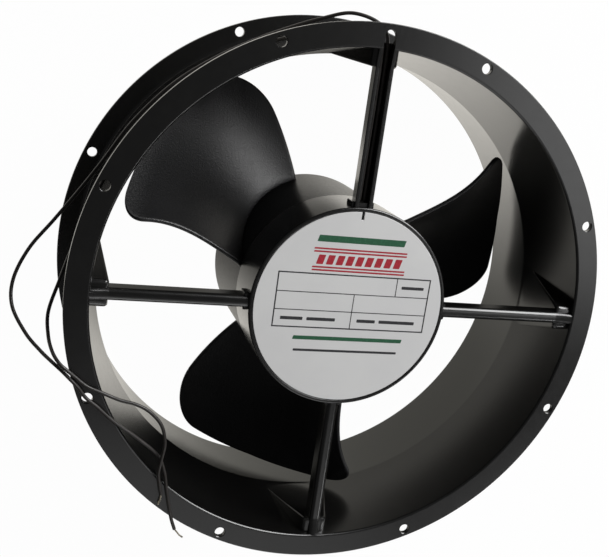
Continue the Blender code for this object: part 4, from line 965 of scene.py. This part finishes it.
def make_print():
    """Generic print: coloured bars, a ruled table and plain dashes."""
    edge, rule = TABLE_EDGE_HALF, TABLE_RULE_HALF
    dark = [(TABLE_LEFT - edge, TABLE_RIGHT + edge, y - edge, y + edge) for y in (TABLE_BOTTOM, TABLE_TOP)]
    dark += [(x - edge, x + edge, TABLE_BOTTOM - edge, TABLE_TOP + edge) for x in (TABLE_LEFT, TABLE_RIGHT)]
    dark += [(TABLE_LEFT, TABLE_RIGHT, y - rule, y + rule) for y in (TABLE_LOW_RULE, TABLE_HIGH_RULE)]
    dark.append((TABLE_UPPER_SPLIT - rule, TABLE_UPPER_SPLIT + rule, TABLE_HIGH_RULE, TABLE_TOP))
    dark.append((TABLE_LOWER_SPLIT - rule, TABLE_LOWER_SPLIT + rule, TABLE_BOTTOM, TABLE_HIGH_RULE))
    dark += DASHES
    red = [(RED_LINE_LEFT, RED_LINE_RIGHT, y, y + RED_LINE_HEIGHT) for y in RED_LINE_BOTTOMS]
    left, right, bottom, top = RED_BLOCK
    for step in range(RED_BLOCK_COUNT):
        red.append((left + RED_BLOCK_PITCH * step, right + RED_BLOCK_PITCH * step, bottom, top))
    prints = (
        ("print_table", ink("print_dark", (0.028, 0.028, 0.032)), dark, 0.0),
        ("print_green_bars", ink("print_green", (0.016, 0.105, 0.048)), GREEN_BARS, BAR_SLANT),
        ("print_red_bars", ink("print_red", (0.42, 0.017, 0.032)), red, BAR_SLANT),
    )
    for name, material, bars, slant in prints:
        place_piece(ink_bars(name, material, bars, slant), "frame", "nameplate")


# Impeller

def weighted(weights, points):
    """Sum of (degrees, height) points by their weights."""
    return tuple(sum(weight * point[part] for weight, point in zip(weights, points)) for part in (0, 1))


def section_curve(section, chord):
    degrees, height = weighted(((1 - chord) ** 2, 2 * chord * (1 - chord), chord ** 2), section)
    return degrees, height * FAN_DEPTH


def blade_point(span, chord):
    """Point on a blade's middle surface, span 0 at the hub and 1 at the tip."""
    weights = ((1 - span) * (1 - 2 * span), 4 * span * (1 - span), span * (2 * span - 1))
    degrees, height = weighted(weights, [section_curve(section, chord) for section in BLADE_SECTIONS])
    return polar(HUB_RADIUS + (BLADE_TIP_RADIUS - HUB_RADIUS) * span, degrees, height)


def corner_inset(span, corner):
    """How far a rounded tip corner cuts into the chord at a span."""
    span_share, chord_share = corner
    along = max(0, (span - 1 + span_share) / span_share)
    return chord_share * (1 - math.sqrt(max(0, 1 - along ** 2)))


def blade_middle():
    """Rows of points on a blade's middle surface, closer together towards its edges."""
    root = -BLADE_ROOT_SINK / (BLADE_TIP_RADIUS - HUB_RADIUS)
    rows = []
    for row in range(BLADE_SPANS + 1):
        span = root + (1 - root) * math.sin(math.pi / 2 * row / BLADE_SPANS)
        first = corner_inset(span, FRONT_CORNER)
        last = 1 - corner_inset(span, REAR_CORNER)
        line = []
        for column in range(BLADE_CHORDS + 1):
            share = 0.5 - 0.5 * math.cos(math.pi * column / BLADE_CHORDS)
            line.append(blade_point(span, first + (last - first) * share))
        rows.append(line)
    return rows


def make_blade():
    """One blade as a closed shell: thin rounded edges, and a fillet where it meets the hub."""
    half = BLADE_THICKNESS / 2
    middle = blade_middle()
    bm = bmesh.new()
    sides = []
    for sign in (1, -1):
        rows = []
        for r, line in enumerate(middle):
            verts = []
            for c, point in enumerate(line):
                across = line[min(BLADE_CHORDS, c + 1)] - line[max(0, c - 1)]
                out = middle[min(BLADE_SPANS, r + 1)][c] - middle[max(0, r - 1)][c]
                normal = across.cross(out).normalized()
                edge = min((point - place).length for place in (line[0], line[-1], middle[-1][c]))
                if edge < BLADE_EDGE_LIMIT:
                    verts.append(sides[0][r][c] if sides else bm.verts.new(point))
                    continue
                round_share = min(1.0, edge / half)
                thick = half * math.sqrt(1 - (1 - round_share) ** 2)
                distance = math.hypot(point.x, point.y) - HUB_RADIUS
                swell = max(0.0, 1 - max(0.0, distance) / BLADE_ROOT_FILLET)
                thick += BLADE_ROOT_FILLET * BLADE_FILLET_SHARE * swell ** 2 * round_share
                verts.append(bm.verts.new(point + sign * thick * normal))
            rows.append(verts)
        sides.append(rows)
    for rows in sides:
        for row, following in zip(rows, rows[1:]):
            for c in range(BLADE_CHORDS):
                corners = []
                for vert in (row[c], row[c + 1], following[c + 1], following[c]):
                    if vert not in corners:
                        corners.append(vert)
                if len(corners) > 2 and bm.faces.get(corners) is None:
                    bm.faces.new(corners)
    bm.faces.new(sides[0][0] + sides[1][0][::-1][1:-1])
    return finish_mesh("blade", bm)


def make_impeller():
    material = speckled("impeller_moulding", *IMPELLER_FINISH)
    rear_edge = (HUB_RADIUS - HUB_EDGE_ROUND, HUB_REAR + HUB_EDGE_ROUND)
    rim = HUB_RIM_ROUND
    profile = [(0, HUB_REAR_INSIDE), (HUB_INNER_RADIUS, HUB_REAR_INSIDE)]
    profile += arc((HUB_INNER_RADIUS + rim, HUB_FRONT - rim), rim, 180, 90, RIM_STEPS)
    profile += arc((HUB_RADIUS - rim, HUB_FRONT - rim), rim, 90, 0, RIM_STEPS)
    profile += arc(rear_edge, HUB_EDGE_ROUND, 0, -90, LIP_STEPS)
    profile.append((0, HUB_REAR))
    impeller = lathe("fan_impeller", profile, HUB_STEPS, material, closed=False)
    for index in range(BLADE_COUNT):
        combine(impeller, turn(make_blade(), -THIRD_TURN * index), "UNION")
    combine(impeller, screw_hole_tool(), "DIFFERENCE")
    return polish(impeller)


def screw_hole_tool():
    bm = bmesh.new()
    for index in range(SCREW_COUNT):
        place = polar(SCREW_CIRCLE_RADIUS, index * THIRD_TURN, HUB_REAR_INSIDE / 2)
        bmesh.ops.create_cone(
            bm, cap_ends=True, segments=HOLE_STEPS, radius1=SCREW_HOLE_RADIUS, radius2=SCREW_HOLE_RADIUS,
            depth=HUB_REAR_INSIDE + FIT_GAP, matrix=Matrix.Translation(place),
        )
    return finish_mesh("screw_hole_tool", bm)


# Windings and leads inside the motor

def coil_path():
    """One unbroken wire wound in layers round a tooth on +X."""
    points = []
    turns = int((COIL_FAR - COIL_NEAR) / COIL_WIRE)
    layers = int(COIL_THICKNESS / COIL_WIRE)
    pitch = (COIL_FAR - COIL_NEAR - COIL_WIRE) / (turns - 1)
    for layer in range(layers):
        offset = (layer + 0.5) * COIL_WIRE
        corner = offset + COIL_CORNER
        half = COIL_WINDOW + offset - corner
        height = COIL_HALF_HEIGHT + offset - corner
        loop = rounded_box((-half, -height), (half, height), corner)
        count = len(loop)
        for index in range((turns - 1) * count + 1):
            reach = COIL_NEAR + COIL_WIRE / 2 + pitch * index / count
            if layer % 2:
                reach = COIL_NEAR + COIL_FAR - reach
            across, up = loop[index % count]
            points.append((reach, across, COIL_MIDDLE + up))
    return points


def make_windings():
    enamel = speckled("winding_enamel", *COPPER_FINISH)
    bare = COIL_WIRE * COIL_WIRE_SHARE
    for number in range(1, COIL_COUNT + 1):
        coil = make_wire("wound_coil_%d" % number, coil_path(), bare, enamel, COIL_ROUNDNESS)
        place_piece(turn(coil, (number - 1) * QUARTER_TURN), "frame", "winding_coil_%d" % number)


def make_inner_leads():
    """The leads' hidden way from the grommet down to the board."""
    cover = speckled("inner_lead_insulation", *LEAD_FINISH)
    start = (LEAD_SPREAD, INNER_LEAD_START, LEAD_HEIGHT)
    for number, side in ((1, 1), (2, -1)):
        route = []
        for row in INNER_LEAD_SHARES:
            across, inwards, height = (a + (b - a) * share for a, b, share in zip(start, INNER_LEAD_END, row))
            route.append((side * across, inwards, height))
        points = smooth_route(route, INNER_LEAD_POINTS)
        wire = make_wire("inner_cover_%d" % number, points, LEAD_DIAMETER, cover, LEAD_ROUNDNESS)
        place_piece(wire, "frame", "inner_lead_%d" % number)


# CAD nodes that stay

def dress_node(name, material):
    """Finish and clean shading on a CAD node, whose shape stays."""
    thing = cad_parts[name]
    thing.data.materials.clear()
    thing.data.materials.append(material)
    thing.data.polygons.foreach_set("use_smooth", [True] * len(thing.data.polygons))
    weld = thing.modifiers.new("weld", "WELD")
    weld.merge_threshold = NODE_WELD
    split = thing.modifiers.new("keep_edges", "EDGE_SPLIT")
    split.split_angle = math.radians(NODE_SHARP_ANGLE)


def dress_motor():
    turned = metal("turned_steel", (0.5, 0.5, 0.51), 0.3, (1, 1, 14), 420)
    ground = metal("ground_steel", (0.62, 0.62, 0.64), 0.18, (1, 1, 22), 600, 0.00001)
    spring = metal("spring_steel", (0.3, 0.29, 0.28), 0.3, (1, 1, 6))
    plated = metal("plated_screws", (0.6, 0.6, 0.58), 0.3, (1, 1, 5), 1300)
    nylon = moulded("insulator_nylon", (0.66, 0.63, 0.54), (0.6, 0.56, 0.46), 0.48)
    case = moulded("capacitor_case", (0.17, 0.18, 0.19), (0.2, 0.21, 0.22), 0.4)
    protector = moulded("protector_case", (0.018, 0.018, 0.018), (0.026, 0.026, 0.026), 0.42)
    plans = (
        (turned, ("bearing_tube", "shaft_bushing")),
        (ground, ("motor_shaft", "front_bearing_outer_race", "rear_bearing_outer_race")),
        (ground, ("front_bearing_inner_race", "rear_bearing_inner_race")),
        (ground, ("front_bearing_balls", "rear_bearing_balls")),
        (metal("pressed_steel", (0.46, 0.46, 0.47), 0.36), ("rotor_cup",)),
        (spring, ("retaining_clip", "preload_washer")),
        (plated, ("impeller_screw_1", "impeller_screw_2", "impeller_screw_3")),
        (laminated("stacked_sheets", (0.24, 0.24, 0.26)), ("stator_core", "rotor_ring")),
        (nylon, ("stator_insulator_front", "stator_insulator_rear")),
        (woven_board("board_laminate"), ("terminal_board",)),
        (protector, ("thermal_protector",)),
        (case, ("run_capacitor",)),
        (speckled("grommet_rubber", *RUBBER_FINISH), ("lead_grommet",)),
    )
    for material, names in plans:
        for name in names:
            dress_node(name, material)


# Studio

def seen_white(tree, shader, share):
    """Floor that takes shadows, by a share white to the camera, and to mirror rays a painted reflection: a
    warm white that brightens along an axis, with soft patches of painted shadow.
    """
    path = add_node(tree, "LightPath", {})
    places = add_node(tree, "TexCoord", {}).outputs["Object"]
    # Painted reflection: for mirror rays only, the floor brightens from MIRROR_DIM to MIRROR_BRIGHT along an
    # axis
    rise = eased(tree, vector_value(tree, "DOT_PRODUCT", places, MIRROR_AXIS), *MIRROR_RISE)
    mirrored = mix_colours(tree, rise, MIRROR_DIM, MIRROR_BRIGHT)
    # Soft patches of painted shadow that only mirror rays see; inside them the floor's reflection turns to
    # MIRROR_SHADE
    clear = 1.0
    for centre, near, far in MIRROR_SHADOW_PATCHES:
        fade = eased(tree, vector_value(tree, "DISTANCE", places, centre), near, far)
        clear = maths(tree, "MULTIPLY", fade, clear)
    mirrored = mix_colours(tree, clear, MIRROR_SHADE, mirrored)
    camera_ray, mirror_ray = path.outputs["Is Camera Ray"], path.outputs["Is Glossy Ray"]
    colour = mix_colours(tree, mirror_ray, (1, 1, 1), mirrored)
    glow = add_node(tree, "Emission", {"Color": colour, "Strength": 1.0})
    either = maths(tree, "MAXIMUM", camera_ray, mirror_ray)
    mix_shaders(tree, maths(tree, "MULTIPLY", either, share), shader, glow, "Material Output")


def area_light(name, place, size, power):
    """Square lamp aimed at the fan."""
    data = bpy.data.lights.new(name, "AREA")
    data.shape = "SQUARE"
    data.size = size
    data.energy = power
    light = add_object(name, data)
    light.location = place
    light.rotation_euler = (Vector(LAMP_TARGET) - Vector(place)).to_track_quat("-Z", "Y").to_euler()


def make_floor():
    bm = bmesh.new()
    bmesh.ops.create_grid(bm, x_segments=1, y_segments=1, size=FLOOR_REACH)
    floor = finish_mesh("floor", bm)
    floor.location.z = -FLOOR_DROP
    material = bpy.data.materials.new("floor_white")
    material.use_nodes = True
    tree = material.node_tree
    shader = tree.nodes["Principled BSDF"]
    set_inputs(tree, shader, {"Base Color": (*FLOOR_COLOUR, 1), "Roughness": FLOOR_ROUGHNESS})
    seen_white(tree, shader, FLOOR_SEEN_SHARE)
    floor.data.materials.append(material)


def make_world():
    """Weak even light that the camera sees as plain white."""
    world = bpy.data.worlds.new("studio")
    scene.world = world
    world.use_nodes = True
    tree = world.node_tree
    light = tree.nodes["Background"]
    set_inputs(tree, light, {"Color": (1, 1, 1, 1), "Strength": WORLD_LIGHT})
    white = add_node(tree, "Background", {"Color": (1, 1, 1, 1), "Strength": 1.0})
    path = add_node(tree, "LightPath", {})
    mix_shaders(tree, path.outputs["Is Camera Ray"], light, white, "World Output")


make_camera()
make_leads()
casting_paint = stoving_enamel()
place_piece(make_housing(casting_paint), "frame", "venturi_housing")
place_piece(make_spider(casting_paint), "frame", "motor_spider")
place_piece(make_nameplate(), "frame", "nameplate")
place_piece(make_impeller(), "rotor", "impeller")
make_print()
make_windings()
make_inner_leads()
dress_motor()
make_floor()
make_world()
for lamp in LAMPS:
    area_light(*lamp)
scene.view_settings.view_transform = "Standard"
